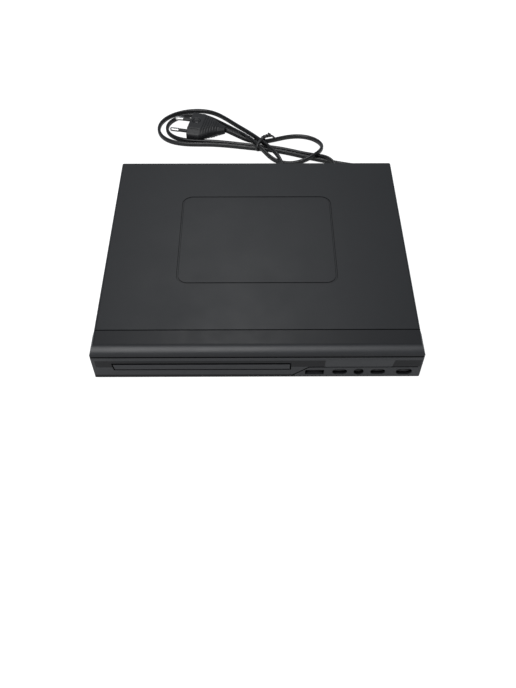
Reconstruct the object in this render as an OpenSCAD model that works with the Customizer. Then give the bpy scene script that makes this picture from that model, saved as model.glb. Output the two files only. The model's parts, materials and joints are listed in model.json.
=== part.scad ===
// Slim disc player with a front loading tray, a captive mains lead and its plug.
// Millimetres. +X right, +Y back, +Z up. The origin is on the table, under the middle of the player.

/* [Case] */
// Width of the top cover over its sides
cover_w = 240; // [238:1:280]
// Depth of the top cover, from the bezel's seam to the back
cover_d = 190; // [188:1:230]
// Height of the case without its feet
case_h = 33; // [33:0.5:42]
// Height of the rubber feet
foot_h = 5; // [3:0.5:10]
// Top radius of the rubber feet
foot_r = 8; // [6:0.5:10]
// Thickness of the sheet steel
sheet = 1; // [0.8:0.1:1.2]
// Outer radius of the cover's folded edges
bend_r = 2; // [1.6:0.2:3]
// Height of the cover's hem over the rear panel
hem_h = 7; // [6:0.5:9]

/* [Front bezel] */
// Depth of the bezel from the seam to its lip
bezel_d = 20; // [19.5:0.5:24]
// How far the lip flares past the cover on each side
lip_flare = 2; // [0.8:0.1:3]
// Radius of the rolled top edge
roll_r = 7; // [6.5:0.5:8.5]
// How far the face stands back from the lip
lip_step = 0.7; // [0.4:0.1:1]
// Height of the shadow groove under the lip
groove_h = 2.2; // [1.6:0.1:2.6]
// Width of the shadow groove along the seam
seam_w = 0.9; // [0.5:0.1:1.5]
// Wall of the bezel moulding
bezel_wall = 2.4; // [2:0.1:2.8]
// Thickness of the glossy strip let into the face
strip_t = 1.2; // [0.8:0.1:1.4]
// Thickness of the bezel's bottom wall
bezel_floor = 1.4; // [1.2:0.1:1.5]
// Height of the glossy strip
strip_h = 7.8; // [7:0.2:8.4]

/* [Disc tray] */
// Width of the tray's front door
door_w = 130; // [129:0.5:132]
// Height of the tray's front door
door_h = 5.6; // [5.4:0.1:5.8]
// Thickness of the tray's front door
door_t = 2.4; // [2:0.1:2.8]
// Gap around the tray's front door
door_gap = 1; // [0.6:0.1:1.2]
// Distance from the case's left side to the tray's middle
tray_side = 79; // [76:0.5:82]
// Width of the sliding tray
tray_w = 127; // [125:0.5:128]
// Travel of the tray
tray_travel = 132; // [124:1:133]
// Radius of the recess for a 120 mm disc
recess_r = 60.5; // [60.2:0.1:61]
// Depth of the disc recess
recess_depth = 2.1; // [1.8:0.1:2.2]
// Thickness of the tray's floor
tray_floor = 1; // [0.8:0.1:1.1]

/* [Drive] */
// Module of the rack and the drive gear's pinion
rack_module = 1; // [0.9:0.05:1.1]
// Teeth on the drive gear's pinion
rack_teeth = 20; // [19:1:21]
// Module of the reduction gears
train_module = 0.6; // [0.5:0.05:0.65]
// Teeth on the drive gear's wheel
wheel_teeth = 36; // [34:1:36]
// Teeth on the pulley gear's pinion
pinion_teeth = 18; // [17:1:20]
// Radius of the pulley gear's pulley
pulley_r = 9; // [8:0.5:10]
// Radius of the motor's pulley
motor_pulley_r = 3.2; // [2.8:0.1:3.6]
// Radius of the loader motor
motor_r = 12; // [10:0.5:12.5]
// Height of the loader motor
motor_h = 12.3; // [10:0.1:15]

/* [Reader] */
// Angle by which the traverse tips down
lift_angle = 1.8; // [1.4:0.1:1.9]
// Travel of the slider that tips the traverse
cam_travel = 12; // [10:0.5:14]
// Radius of the turntable
turntable_r = 15; // [13:0.5:16]
// Travel of the pickup
sled_travel = 34; // [28:1:35]
// Radius of the guide rods
rod_r = 1.5; // [1.2:0.1:1.6]

/* [Controls] */
// Travel of the buttons
press = 0.5; // [0.3:0.1:0.6]
// Height of the two pill buttons
pill_h = 5.2; // [4.8:0.1:5.6]
// Width of the two pill buttons
pill_w = 10.4; // [9.6:0.2:11]
// Radius of the round button
round_r = 3.4; // [3:0.1:3.8]
// Width of the power button
power_w = 11.2; // [10.4:0.2:12]
// Height of the power button
power_h = 6.4; // [6:0.1:6.6]

/* [Mains lead] */
// Width of the flat lead
lead_w = 4.8; // [4.4:0.1:5.2]
// Thickness of the flat lead
lead_t = 3; // [2.6:0.1:3.2]
// Length of the plug's pins
pin_l = 19; // [18:0.5:20]
// Distance between the plug's pins
pin_gap = 18.6; // [18:0.1:19.2]

/* [Hidden] */
$fn = 64;

// clearances
seat = 0.3; // between pieces that move past each other
glide = 0.4; // beside and above the tray
running = 0.05; // radial, shaft in bore
eps = 1; // how far a cutter runs past what it cuts

// the case's planes
jack_out = 9; // how far the jacks reach behind the case
front_y = -(bezel_d + cover_d + jack_out) / 2;
face_y = front_y + lip_step;
seam_y = front_y + bezel_d;
rear_y = seam_y + cover_d;
panel_y = rear_y - sheet; // outer face of the rear panel
floor_z = foot_h;
base_z = floor_z + sheet; // upper face of the pan
top_z = floor_z + case_h;
lip_z = top_z - roll_r;
wall_y = face_y + bezel_wall; // inner face of the bezel's front wall
cover_in = cover_w / 2 - sheet; // half the width inside the cover
wall_h = 10; // height of the pan's side walls over its floor
flange_h = 6; // height of the pan's front flange over its floor
face_r = 1.6; // vertical corners of the bezel
lip_taper = 0.6; // how much the bezel narrows from its lip to the seam, on each side
groove_deep = 1; // depth of the bezel's shadow grooves
tray_x = tray_side - cover_w / 2;
foot_side = 25; // the feet's middles, from the case's sides, seam and back
foot_front = 20;
foot_back = 22;

// the loader's outside, which the controls' bay starts from
loader_wall = 2.4;
loader_in = tray_w / 2 + glide;
loader_out = loader_in + loader_wall;
loader_x = [tray_x - loader_out, tray_x + loader_out];

// the bay right of the loader, and how its controls share it
bay_w = cover_w / 2 - loader_x[1];
bay_parts = 94.7;
function in_bay(part) = loader_x[1] + bay_w * part / bay_parts;
usb_x = in_bay(17.4);
eject_x = in_bay(36.1);
play_x = in_bay(50.3);
stop_x = in_bay(64.6);
power_x = in_bay(84.1);
window_x = [in_bay(24.7), in_bay(75.7)];

// the face, counted from the pan
strip_z = base_z + 15.4;
strip_x = [0.8 - cover_w / 2, cover_w / 2 + 0.6];
ir_x = cover_w / 2 - 12.3;
window_h = strip_h + 0.4;
window_slant = 1.4;
window_rim = 1.2; // the window's seat in the face, all round
tray_z = base_z + 12.4;
door_z = tray_z - 0.7; // the door hangs a little lower than the tray
door_slant = 0.4;
button_z = base_z + 5.1;
usb_z = base_z + 4.7;
usb_w = 14;
usb_h = 5.4;
cap_gap = 0.35; // around each button's cap
cap_sink = 2.2; // how far the caps lie behind the face
button_xs = [eject_x, play_x, stop_x, power_x];
button_sizes = [[pill_w, pill_h], [2 * round_r, 2 * round_r], [pill_w, pill_h], [power_w, power_h]];

// screws
screw_r = 1.5;
screw_head_r = 2.8;
screw_head_h = 1.4;
side_screw_y = [-60, 70];
side_screw_z = base_z + 6;
rear_screw_x = [for (k = [-1:1]) k * (cover_w / 2 - 20)];
screw_l = 4; // shanks of the case's and the posts' screws
louvre_pitch = 7;
louvre_w = 3;
vent_pitch = 5;
vent_w = 2;
vent_l = 34;
vent_y = [-30, 14];

// the tray
tray_y = face_y + door_t; // front end of the tray, behind the door
tray_d = 152.4;
small_r = 40.5; // inner recess, for small discs
small_depth = 0.3;
notch_r = 9; // finger notches
notch_at = [40, 12];
rack_spare = 4; // teeth left past the drive gear with the tray out
tray_bot = tray_z - door_h / 2;
tray_top = tray_z + door_h / 2 - 0.2;
recess_z = tray_top - recess_depth;
under_z = recess_z - tray_floor; // underside of the tray's floor
skirt_t = 1.6;
spindle_y = tray_y + 66.4;
slot_w = 40;

// the loader
loader_t = 1.4;
loader_lift = 1;
loader_z = base_z + loader_lift;
loader_top = loader_z + loader_t;
loader_l = 160;
loader_y = [tray_y + 2.4, tray_y + 2.4 + loader_l];
wall_top = tray_top + 1.4;
ledge_w = 1.6; // ledges under the tray's skirts
tab_l = 10; // tabs over the tray's rim
tab_w = 1.5;
tab_y = [loader_y[0] + 2, spindle_y + 44, loader_y[1] - 14];
well_w = 88; // width of the opening for the traverse
well_y = [spindle_y - 20.2, spindle_y + 91];
bracket_t = 4; // brackets of the traverse's hinge
bridge_boss = 2; // from the loader's wall to its bridge screws
bridge_screw = 5;

// the gear train
rack_r = rack_module * rack_teeth / 2;
wheel_r = train_module * wheel_teeth / 2;
pinion_r = train_module * pinion_teeth / 2;
rack_x = tray_x + tray_w / 2 - 4; // pitch line of the rack
drive_x = rack_x - rack_r;
drive_y = tray_y + 14.4;
train_angle = 35;
pulley_x = drive_x + (wheel_r + pinion_r) * cos(train_angle);
pulley_y = drive_y + (wheel_r + pinion_r) * sin(train_angle);
belt_run = [24, 6.7]; // from the pulley gear to the motor
motor_x = pulley_x + belt_run[0];
motor_y = pulley_y + belt_run[1];
ear_x = [tray_x + loader_in, motor_x + motor_r + 2]; // the loader's ear under its motor
ear_y = [motor_y - motor_r - 3, motor_y + motor_r + 3];
leg = 4; // legs of the motor's shelf
shaft_r = 0.8; // the loader motor's shaft
shaft_l = 6;
motor_boss_r = 3;
pulley_z = loader_top + glide;
pulley_h = 2;
train_z = pulley_z + pulley_h + glide;
train_h = 2.2;
shelf_z = train_z; // the motor's shelf
rack_z = tray_bot + 0.2;
rack_h = under_z - glide - rack_z;
axle_r = 1.4;
axle_seat = 1.6; // how far the gears' seats stand out round their axles
belt_t = 1.2;
groove_d = 1; // depth of the pulleys' grooves
pressure_angle = 20;
backlash = 0.1; // taken off each tooth, as a share of the module

// the traverse
hinge_run = 80; // from the spindle to the hinge
hinge_y = spindle_y + hinge_run;
hinge_z = loader_top + 3.6;
hinge_r = 1.5;
traverse_w = 76;
traverse_y = [spindle_y - 18, hinge_y + 4];
traverse_z = loader_top + 2.2;
traverse_t = 2;
rod_z = traverse_z + 3.3;
rod_x = traverse_w / 2 - 12;
rod_y = [spindle_y - 10, spindle_y + 44 + sled_travel];
holder_l = 4; // the rods' holders
rail = 3; // the frame's side rails
rail_h = 3.4;
disc_z = recess_z + 1.3; // a clamped disc's underside
cone_r = 7.4;
cone_h = 0.8;
motor_disc_r = 13;
motor_disc_h = 6;
motor_sink = 1.2; // how far the spindle motor reaches under the frame
spindle_r = 1;
turntable_t = 1.6;
hub_r = 6;
lens_run = 24; // from the spindle to the lens, with the pickup at home
lens_y = spindle_y + lens_run;
sled_d = 22;
lens_r = 2.6;
lens_gap = 0.3; // the lens under a disc's tray, at its lowest
lens_h = 2.4;
screw_x = traverse_w / 2 - 5;
lead_screw_r = 1.2;
core_r = 0.9; // the lead screw's core
screw_pitch = 3;
screw_y = [spindle_y + 19.3, rod_y[1] - holder_l];
sled_motor_r = 3.4;
sled_motor_y = [spindle_y - 4, screw_y[0] - seat];
journal = 3; // how far the screw's ends reach into their bearings
cam_y = traverse_y[0] - 4.6;
cam_t = 2;
cam_w = 66;
cam_foot = 9; // depth of the slider's foot
cam_foot_t = 1.4;
cam_slack = 0.2; // spare length at each end of the slider's slots
cam_pin_x = 18;
cam_pin_r = 0.9;
cam_pin_z = traverse_z + 3;
peg_x = [-10, 26];
peg_y = cam_y - 5;
peg_r = 1.5;
peg_head_r = 2.6;
cam_drop = (hinge_y - cam_y - cam_t / 2) * sin(lift_angle);
bridge_d = 32;
puck_r = 11;
puck_gap = 1;
puck_rim = 1.2;
disc_t = 1.2; // a disc's thickness

// the boards
board_t = 1.6;
board_lift = 4;
board_z = base_z + board_lift;
supply_x = [loader_x[1] + 16.7, cover_in - 7];
supply_y = [seam_y + 35.5, rear_y - 16.5];
main_x = [29 - cover_in, supply_x[0] - 4];
main_y = [loader_y[1] + 6, rear_y - 4.5];
main_d = main_y[1] - main_y[0];
boss_r = 3;
board_inset = 4;
chip_h = 1.4;
small_can = [2.5, 7]; // radius and height of the capacitors, from small to big
can = [5, 14];
big_can = [8, 20];
can_pitch = 14;
film_w = 18; // the mains capacitor
film_d = 10;
core_w = 28; // the transformer's core, its two rims and its winding
core_d = 22;
rim_h = 3.5;
coil_h = 12;
wound = 3;
front_board_x = [loader_x[1] + 9.9, cover_in - 3];
front_board_y = wall_y + 8.8;
front_board_z = [base_z + 1.4, base_z + 24];
post_z = base_z + 21.5; // the bezel's posts
post_at = [for (x = [front_board_x[0] + 4.8, play_x, front_board_x[1] - 3.5]) [x, post_z]];
post_r = 2.4;
switch_w = 6;
switch_d = 3.5;
plunger_l = 3;
plunger_out = 1.5; // how far a plunger stands out of its switch
plunger_r = 1.7;
plunger_y = front_board_y - switch_d - plunger_out;
flange_t = 1.2;
flange_out = 0.8;
ribbon_w = 3.6;
ribbon_x = [usb_x - 11.7, usb_x - 11.7 + ribbon_w];
ribbon_t = 0.6;
connector_h = 3.4;
connector_y = [main_y[0] + 0.26 * main_d, main_y[0] + 0.38 * main_d];
jack_pitch = 15;
jack_x = [for (k = [0:2]) main_x[0] + 28 + jack_pitch * k];
jack_z = base_z + 14;
jack_r = 4.15;
jack_seat_r = 3.9; // the shells inside their collars and block
jack_bore_r = 3.4;
jack_block_d = 0.35 * main_d; // how much of the main board the jacks' block takes
jack_pin_r = 1.6;
collar_r = 5.2;
collar_t = 2;

// the mains lead: a tube from the gland to the tied hank, then the hank and the plug
gland_x = 106;
gland_z = 14;
gland_l = 20;
gland_r = 4.4; // its neck in the rear panel
lead_route = [[106, 119.5, 14], [106, 125, 12.4], [104, 131, 9], [99, 137, 5.4], [92, 141, 3],
    [85, 143.5, 2.6]];
lead_sides = 8;
tie_at = [4, 171];
left_lobe = [[4, 171], [-14, 173], [-46, 177.2], [-62, 177.5], [-77, 179.4], [-89.5, 186], [-96, 198],
    [-93.5, 211.5], [-83.5, 221.8], [-69.5, 227.2], [-57, 227.8], [-43, 221.2], [-30, 210.3],
    [-18.5, 197.8], [-9, 186], [4, 171]];
right_lobe = [[4, 171], [14, 162.5], [22, 150.5], [26, 138], [29, 126], [36, 116], [47, 110.5], [60, 111],
    [71, 117], [77, 128], [77, 139.5], [71, 148.6], [60, 154.8], [46.5, 160], [33, 165], [4, 171]];
gland_run = [[85, 143.5], [74, 146.6], [61, 150.6], [48, 155], [34, 160.2], [4, 171]];
small_loop = [[4, 171], [16.5, 149], [28, 144.4], [41, 143.6], [53, 147.6], [62, 156], [66, 166],
    [64, 177], [56, 185.2], [44, 188.2], [31.5, 187.2], [18.4, 182], [4, 177]];
plug_run = [[4, 177], [-8, 179.8], [-19, 186], [-31, 191.5]];
knot_run = [[-8, 187.5], [4, 171], [14, 158]];
plug_at = [-31, 191.5];
plug_angle = 168; // heading of the pins, about +Z
plug_z = 7.4;
plug_l = 36;
plug_half_w = 17.6;
plug_t = 13.7;
knuckle = 0.2; // how far the hank's bends stand out of its runs
pin_r = 2;
sleeve_r = 1.75;
core_pin_r = 1.2; // the pins inside their sleeves
sleeve_l = 10;

// ---------- shapes that repeat ----------

module slab(x, y, z) {
    translate([x[0], y[0], z[0]]) cube([x[1] - x[0], y[1] - y[0], z[1] - z[0]]);
}

module pillar(x, y, z, r, h) {
    translate([x, y, z]) cylinder(r = r, h = h);
}

// a 2D outline in X and Z, extruded along Y
module along_y(y0, y1) {
    translate([0, y1, 0]) rotate([90, 0, 0]) linear_extrude(y1 - y0) children();
}

// a 2D outline in Y and Z, extruded along X
module along_x(x0, x1) {
    translate([x0, 0, 0]) rotate([90, 0, 90]) linear_extrude(x1 - x0) children();
}

module rounded_rect(w, d, r) {
    square([w - 2 * r, d], center = true);
    square([w, d - 2 * r], center = true);
    for (x = [-1, 1], y = [-1, 1]) translate([x * (w / 2 - r), y * (d / 2 - r)]) circle(r);
}

// a pill lying along X, in X and Z
module pill(x, z, w, h) {
    translate([x, z]) {
        square([w - h, h], center = true);
        for (s = [-1, 1]) translate([s * (w - h) / 2, 0]) circle(h / 2);
    }
}

// a band of even width along a run of points, with a knuckle at each point
module band(run, w, knuckle = 0) {
    for (i = [0:len(run) - 2]) {
        step = run[i + 1] - run[i];
        translate(run[i]) rotate(atan2(step[1], step[0])) translate([0, -w / 2]) square([norm(step), w]);
    }
    for (p = run) translate(p) circle(w / 2 + knuckle);
}

// ---------- gears ----------

function involute(a) = tan(a) * 180 / PI - a;
// half the angle that a tooth takes up at radius r
function tooth_half(r, m, teeth) = let(pitch = m * teeth / 2, base = pitch * cos(pressure_angle))
    (PI / 2 - backlash) * m / 2 / pitch * 180 / PI + involute(pressure_angle) - involute(acos(base / r));
function gear_points(m, teeth, steps = 4) = let(
        pitch = m * teeth / 2,
        tip = pitch + m,
        root = pitch - 1.25 * m,
        low = max(root, pitch * cos(pressure_angle) + 0.001),
        radii = [for (k = [0:steps]) low + (tip - low) * k / steps])
    [for (t = [0:teeth - 1]) let(mid = 360 * t / teeth, wide = tooth_half(low, m, teeth)) each concat(
        [root * [cos(mid - wide), sin(mid - wide)]],
        [for (r = radii) r * [cos(mid - tooth_half(r, m, teeth)), sin(mid - tooth_half(r, m, teeth))]],
        [for (k = [steps:-1:0]) let(r = radii[k])
            r * [cos(mid + tooth_half(r, m, teeth)), sin(mid + tooth_half(r, m, teeth))]],
        [root * [cos(mid + wide), sin(mid + wide)]])];

module gear(m, teeth, turn) {
    rotate(turn) polygon(gear_points(m, teeth));
}

// teeth along Y that point to -X, with a gap at y = 0 and the pitch line at x = 0
module rack(m, y0, y1) {
    pitch = PI * m;
    slope = tan(pressure_angle);
    half = (PI / 2 - backlash) * m / 2;
    for (k = [ceil(y0 / pitch):floor(y1 / pitch) - 1]) translate([0, (k + 0.5) * pitch])
        polygon([[1.25 * m, -half - 1.25 * m * slope], [1.25 * m, half + 1.25 * m * slope],
            [-m, half - m * slope], [-m, -half + m * slope]]);
}

// ---------- case ----------

module chassis_pan() {
    color("#b9bcbf") difference() {
        union() {
            slab([-cover_in, cover_in], [seam_y + seat, panel_y], [floor_z, base_z]);
            // the front flange leaves room for the loader
            for (x = [[-cover_in, loader_x[0] - 1], [ear_x[1] + 1, cover_in]])
                slab(x, [seam_y + seat, seam_y + seat + sheet], [floor_z, base_z + flange_h]);
            along_y(panel_y - sheet, panel_y)
                cover_section(2 * cover_in, top_z - sheet, bend_r - sheet, floor_z);
            for (x = [[-cover_in, sheet - cover_in], [cover_in - sheet, cover_in]])
                slab(x, [seam_y + seat, panel_y], [floor_z, base_z + wall_h]);
            for (p = board_points()) pillar(p[0], p[1], base_z, boss_r, board_lift);
            for (p = loader_points()) pillar(p[0], p[1], base_z, boss_r, loader_lift);
        }
        for (p = board_points()) pillar(p[0], p[1], floor_z - eps, screw_r, board_z + eps);
        for (p = loader_points()) pillar(p[0], p[1], floor_z - eps, screw_r, loader_z + eps);
        for (s = [-1, 1], y = side_screw_y) translate([s * cover_in, y, side_screw_z])
            rotate([0, 90, 0]) cylinder(r = screw_r, h = 4 * sheet, center = true);
        for (x = rear_screw_x) translate([x, panel_y, top_z - hem_h / 2])
            rotate([90, 0, 0]) cylinder(r = screw_r, h = 4 * sheet, center = true);
        for (x = jack_x) translate([x, panel_y, jack_z])
            rotate([90, 0, 0]) cylinder(r = jack_seat_r, h = 4 * sheet, center = true);
        translate([gland_x, panel_y, gland_z]) rotate([90, 0, 0])
            cylinder(r = gland_r, h = 4 * sheet, center = true);
        // louvres in the rear panel and vents under the power board
        for (x = [jack_x[2] + 28:louvre_pitch:cover_in - 48]) slab([x, x + louvre_w],
            [panel_y - 2 * sheet, panel_y + eps], [base_z + 10, base_z + 22]);
        for (x = [supply_x[0] + 10:vent_pitch:supply_x[1] - 4], y = vent_y) slab([x, x + vent_w],
            [y, y + vent_l], [floor_z - eps, base_z + eps]);
    }
}

// screw points of the main and the power board
function board_points() = [for (b = [[main_x, main_y], [supply_x, supply_y]],
    x = [b[0][0] + board_inset, b[0][1] - board_inset], y = [b[1][0] + board_inset, b[1][1] - board_inset])
    [x, y]];
// screw points of the loader's frame and of its bridge
function loader_points() = [for (s = [-1, 1], y = [loader_y[0] + 44, loader_y[1] - 6])
    [tray_x + s * (loader_in - 8), y]];
function bridge_points() = [for (s = [-1, 1]) [tray_x + s * (loader_out + bridge_boss), spindle_y]];

// the cover's section, in X and Z
module cover_section(w, high, r, low) {
    translate([-w / 2, low]) square([w, high - r - low]);
    translate([r - w / 2, low]) square([w - 2 * r, high - low]);
    for (s = [-1, 1]) translate([s * (w / 2 - r), high - r]) circle(r);
}

module top_cover() {
    bead_w = 1.6;
    bead_d = 0.4;
    bead_at = [0, seam_y + cover_d / 2 + 0.2];
    bead_size = [0.525 * cover_w, 0.53 * cover_d];
    bead_r = 9;
    color("#3d3f42") difference() {
        union() {
            along_y(seam_y, rear_y) difference() {
                cover_section(cover_w, top_z, bend_r, floor_z + 0.5);
                cover_section(cover_w - 2 * sheet, top_z - sheet, bend_r - sheet, floor_z - eps);
            }
            slab([-cover_in, cover_in], [panel_y, rear_y], [top_z - hem_h, top_z - sheet]);
        }
        translate([bead_at[0], bead_at[1], top_z - bead_d]) linear_extrude(eps) difference() {
            rounded_rect(bead_size[0], bead_size[1], bead_r);
            rounded_rect(bead_size[0] - 2 * bead_w, bead_size[1] - 2 * bead_w, bead_r - bead_w);
        }
        for (s = [-1, 1], y = side_screw_y) translate([s * cover_w / 2, y, side_screw_z])
            rotate([0, 90, 0]) cylinder(r = screw_r, h = 4 * sheet, center = true);
        for (x = rear_screw_x) translate([x, rear_y, top_z - hem_h / 2])
            rotate([90, 0, 0]) cylinder(r = screw_r, h = 4 * sheet, center = true);
    }
}

// where a line from p touches a circle about c: turn is -1 for its right, seen from c, and 1 for its left
function touch_point(p, c, r, turn) = let(d = p - c, a = atan2(d[1], d[0]) + turn * acos(r / norm(d)))
    c + r * [cos(a), sin(a)];

// the bezel's outline from above, drawn in by inset at the front and by side at its ends
module bezel_plan(inset, side_inset, back_y) {
    lip_half = cover_w / 2 + lip_flare - side_inset;
    seam_half = lip_half - lip_taper;
    r = max(face_r - inset, 0.6);
    front = front_y + inset;
    corner = [lip_half - r, front + r];
    side = touch_point([seam_half, back_y], corner, r, -1);
    polygon([[-seam_half, back_y], [seam_half, back_y], side, [corner[0], front], [-corner[0], front],
        [-side[0], side[1]]]);
    for (s = [-1, 1]) translate([s * corner[0], corner[1]]) circle(r);
}

// the bezel's side view above its lip, in Y and Z
module roll_section(inset, back_y) {
    r = roll_r - inset;
    translate([front_y + roll_r, lip_z]) {
        circle(r);
        square([back_y - front_y - roll_r, r]);
    }
    translate([front_y + inset, floor_z]) square([back_y - front_y - inset, lip_z - floor_z]);
}

// the bezel from the front above its lip, in X and Z: it meets the cover's folded edge and flares to the lip
module end_section(inset) {
    half = cover_w / 2 - inset;
    high = top_z - inset;
    r = max(bend_r - inset, 0.6);
    corner = [half - r, high - r];
    side = touch_point([half + lip_flare, lip_z], corner, r, 1);
    polygon([[-half - lip_flare, 0], [half + lip_flare, 0], [half + lip_flare, lip_z], side,
        [corner[0], high], [-corner[0], high], [-side[0], side[1]], [-half - lip_flare, lip_z]]);
    for (s = [-1, 1]) translate([s * corner[0], corner[1]]) circle(r);
}

module bezel_block(inset, back_y, low) {
    wide = cover_w + 4 * lip_flare;
    intersection() {
        along_x(-wide / 2, wide / 2) roll_section(inset, back_y);
        translate([0, 0, low]) linear_extrude(top_z) bezel_plan(inset, inset, back_y);
        along_y(front_y - eps, back_y) end_section(inset);
    }
}

// the door or its opening, in X and Z, with the left end slanted; the opening rises over the tray
module door_outline(grow, rise = 0) {
    half = door_w / 2;
    polygon([[tray_x - half - door_slant - grow, door_z + door_h / 2 + grow + rise],
        [tray_x + half + grow, door_z + door_h / 2 + grow + rise],
        [tray_x + half + grow, door_z - door_h / 2 - grow],
        [tray_x - half + door_slant - grow, door_z - door_h / 2 - grow]]);
}

module window_outline(grow) {
    low = strip_z - window_h / 2 - grow;
    high = strip_z + window_h / 2 + grow;
    polygon([[window_x[0] - grow, low], [window_x[0] - grow, high], [window_x[1] + grow, high],
        [window_x[1] + grow - window_slant, low]]);
}

module strip_outline() {
    translate([strip_x[0], strip_z - strip_h / 2]) square([strip_x[1] - strip_x[0], strip_h]);
}

// the line pressed into the lower face, from under the tray up to the strip and along it
module style_line() {
    foot = [in_bay(1.6), base_z + 1.4];
    knee = [in_bay(12.9), strip_z - strip_h / 2 - 0.5];
    end = [cover_w / 2 - 1.5, knee[1]];
    band([foot, knee, end], 0.9, 0.06);
}

module button_outline(k, grow) {
    w = button_sizes[k][0] + 2 * grow;
    h = button_sizes[k][1] + 2 * grow;
    if (w > h) pill(button_xs[k], button_z, w, h);
    else translate([button_xs[k], button_z]) circle(h / 2);
}

module front_bezel() {
    tongue_w = 28;
    tongue_x = [for (k = [-3:2:3]) k * (cover_in - tongue_w / 2 - 9) / 3];
    tongue_h = 1.6;
    hook_w = 10;
    hook_x = [(loader_x[0] - 1 - cover_in) / 2, ear_x[1] + hook_w, cover_in - 23];
    color("#3a3b3e") difference() {
        union() {
            difference() {
                union() {
                    bezel_block(0, seam_y, lip_z);
                    translate([0, 0, floor_z]) linear_extrude(lip_z - floor_z - groove_h)
                        bezel_plan(lip_step, 0, seam_y);
                    translate([0, 0, floor_z]) linear_extrude(lip_z - floor_z)
                        bezel_plan(lip_step + groove_deep, groove_deep, seam_y);
                }
                bezel_block(lip_step + bezel_wall, seam_y + eps, floor_z + bezel_floor);
            }
            // tongues that reach under the cover, and hooks that meet the pan's flange
            for (x = tongue_x) slab([x - tongue_w / 2, x + tongue_w / 2], [seam_y - 2, seam_y + 5],
                [top_z - sheet - tongue_h, top_z - sheet]);
            for (x = hook_x) slab([x - hook_w / 2, x + hook_w / 2], [seam_y - 3, seam_y + seat],
                [floor_z + bezel_floor / 2, base_z + flange_h]);
            for (p = post_at) along_y(wall_y - bezel_wall / 2, front_board_y) translate(p) circle(post_r);
        }
        for (p = post_at) along_y(wall_y, front_board_y + eps) translate(p) circle(screw_r);
        slab([ribbon_x[0] - seat, ribbon_x[1] + seat], [front_board_y, seam_y + eps],
            [base_z, floor_z + bezel_floor + eps]);
        along_y(front_y - eps, wall_y + eps) door_outline(door_gap, tray_z - door_z);
        along_y(front_y - eps, face_y + strip_t) strip_outline();
        along_y(front_y - eps, face_y + strip_t) window_outline(0);
        along_y(front_y - eps, wall_y + eps) window_outline(-window_rim);
        // shadow groove along the seam
        along_y(seam_y - seam_w, seam_y + eps) difference() {
            translate([-cover_w, lip_z]) square([2 * cover_w, 2 * roll_r]);
            end_section(groove_deep);
        }
        along_y(front_y - eps, face_y + 0.9) style_line();
        for (k = [0:3]) along_y(front_y - eps, wall_y + eps) button_outline(k, cap_gap);
        along_y(front_y - eps, wall_y + eps) translate([usb_x, usb_z])
            square([usb_w, usb_h], center = true);
        translate([ir_x, wall_y, strip_z]) rotate([90, 0, 0]) cylinder(r = 2.6, h = 2 * bezel_wall);
    }
}

module fascia_strip() {
    color("#1b1b1e") along_y(face_y, face_y + strip_t) difference() {
        strip_outline();
        door_outline(door_gap, tray_z - door_z);
        window_outline(0);
    }
}

module display_window() {
    color("#4a4c50") union() {
        along_y(face_y, face_y + strip_t) window_outline(0);
        along_y(face_y + strip_t, wall_y) window_outline(-window_rim);
    }
}

function foot_points() = [for (s = [-1, 1], y = [seam_y + foot_front, rear_y - foot_back])
    [s * (cover_w / 2 - foot_side), y]];

module case_feet() {
    color("#1d1d1d") for (p = foot_points()) translate([p[0], p[1], 0])
        cylinder(r1 = foot_r - 1, r2 = foot_r, h = foot_h);
}

// a screw whose head's underside is at z = 0 and whose shank points down
module screw(shank) {
    cylinder(r = screw_head_r, h = screw_head_h);
    translate([0, 0, -shank]) cylinder(r = screw_r, h = shank);
}

module case_screws() {
    color("#18181a") union() {
        for (s = [-1, 1], y = side_screw_y) translate([s * cover_w / 2, y, side_screw_z])
            rotate([0, s * 90, 0]) screw(screw_l);
        for (x = rear_screw_x) translate([x, rear_y, top_z - hem_h / 2])
            rotate([-90, 0, 0]) screw(screw_l);
    }
}

module board_screws() {
    color("#c9c9c4") union() {
        for (p = board_points()) translate([p[0], p[1], board_z + board_t]) screw(board_lift + board_t);
        for (p = loader_points()) translate([p[0], p[1], loader_top]) screw(loader_lift + loader_t);
        for (p = bridge_points()) translate([p[0], p[1], wall_top + sheet]) screw(bridge_screw);
        for (p = post_at) translate([p[0], front_board_y + board_t, p[1]]) rotate([-90, 0, 0]) screw(screw_l);
    }
}

// ---------- rear jacks ----------

module jack_block() {
    color("#202022") difference() {
        slab([jack_x[0] - 8, jack_x[2] + 8], [main_y[1] - jack_block_d, panel_y - sheet],
            [board_z + board_t, jack_z + 7]);
        for (x = jack_x) translate([x, panel_y - 7, jack_z]) rotate([-90, 0, 0])
            cylinder(r = jack_seat_r, h = 20);
    }
}

module jack_shells() {
    reach = rear_y + jack_out;
    color("#cfd1d3") for (x = jack_x) translate([x, reach, jack_z]) rotate([90, 0, 0]) difference() {
        union() {
            cylinder(r = jack_r, h = reach - panel_y - collar_t - seat);
            cylinder(r = jack_seat_r, h = reach - panel_y + 6);
        }
        translate([0, 0, -eps]) cylinder(r = jack_bore_r, h = 2 * reach);
    }
}

module jack_ring(k) {
    reach = rear_y + jack_out;
    translate([jack_x[k], 0, jack_z]) rotate([-90, 0, 0]) {
        translate([0, 0, panel_y]) difference() {
            cylinder(r = collar_r, h = collar_t);
            translate([0, 0, -eps]) cylinder(r = jack_seat_r, h = collar_t + 2 * eps);
        }
        translate([0, 0, panel_y - 5]) difference() {
            cylinder(r = jack_bore_r, h = reach - panel_y + 4);
            translate([0, 0, 2]) cylinder(r = jack_pin_r, h = reach);
        }
    }
}

module jack_ring_yellow() { color("#e2c219") jack_ring(0); }
module jack_ring_white() { color("#ecece8") jack_ring(1); }
module jack_ring_red() { color("#c22522") jack_ring(2); }

// ---------- loader ----------

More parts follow.
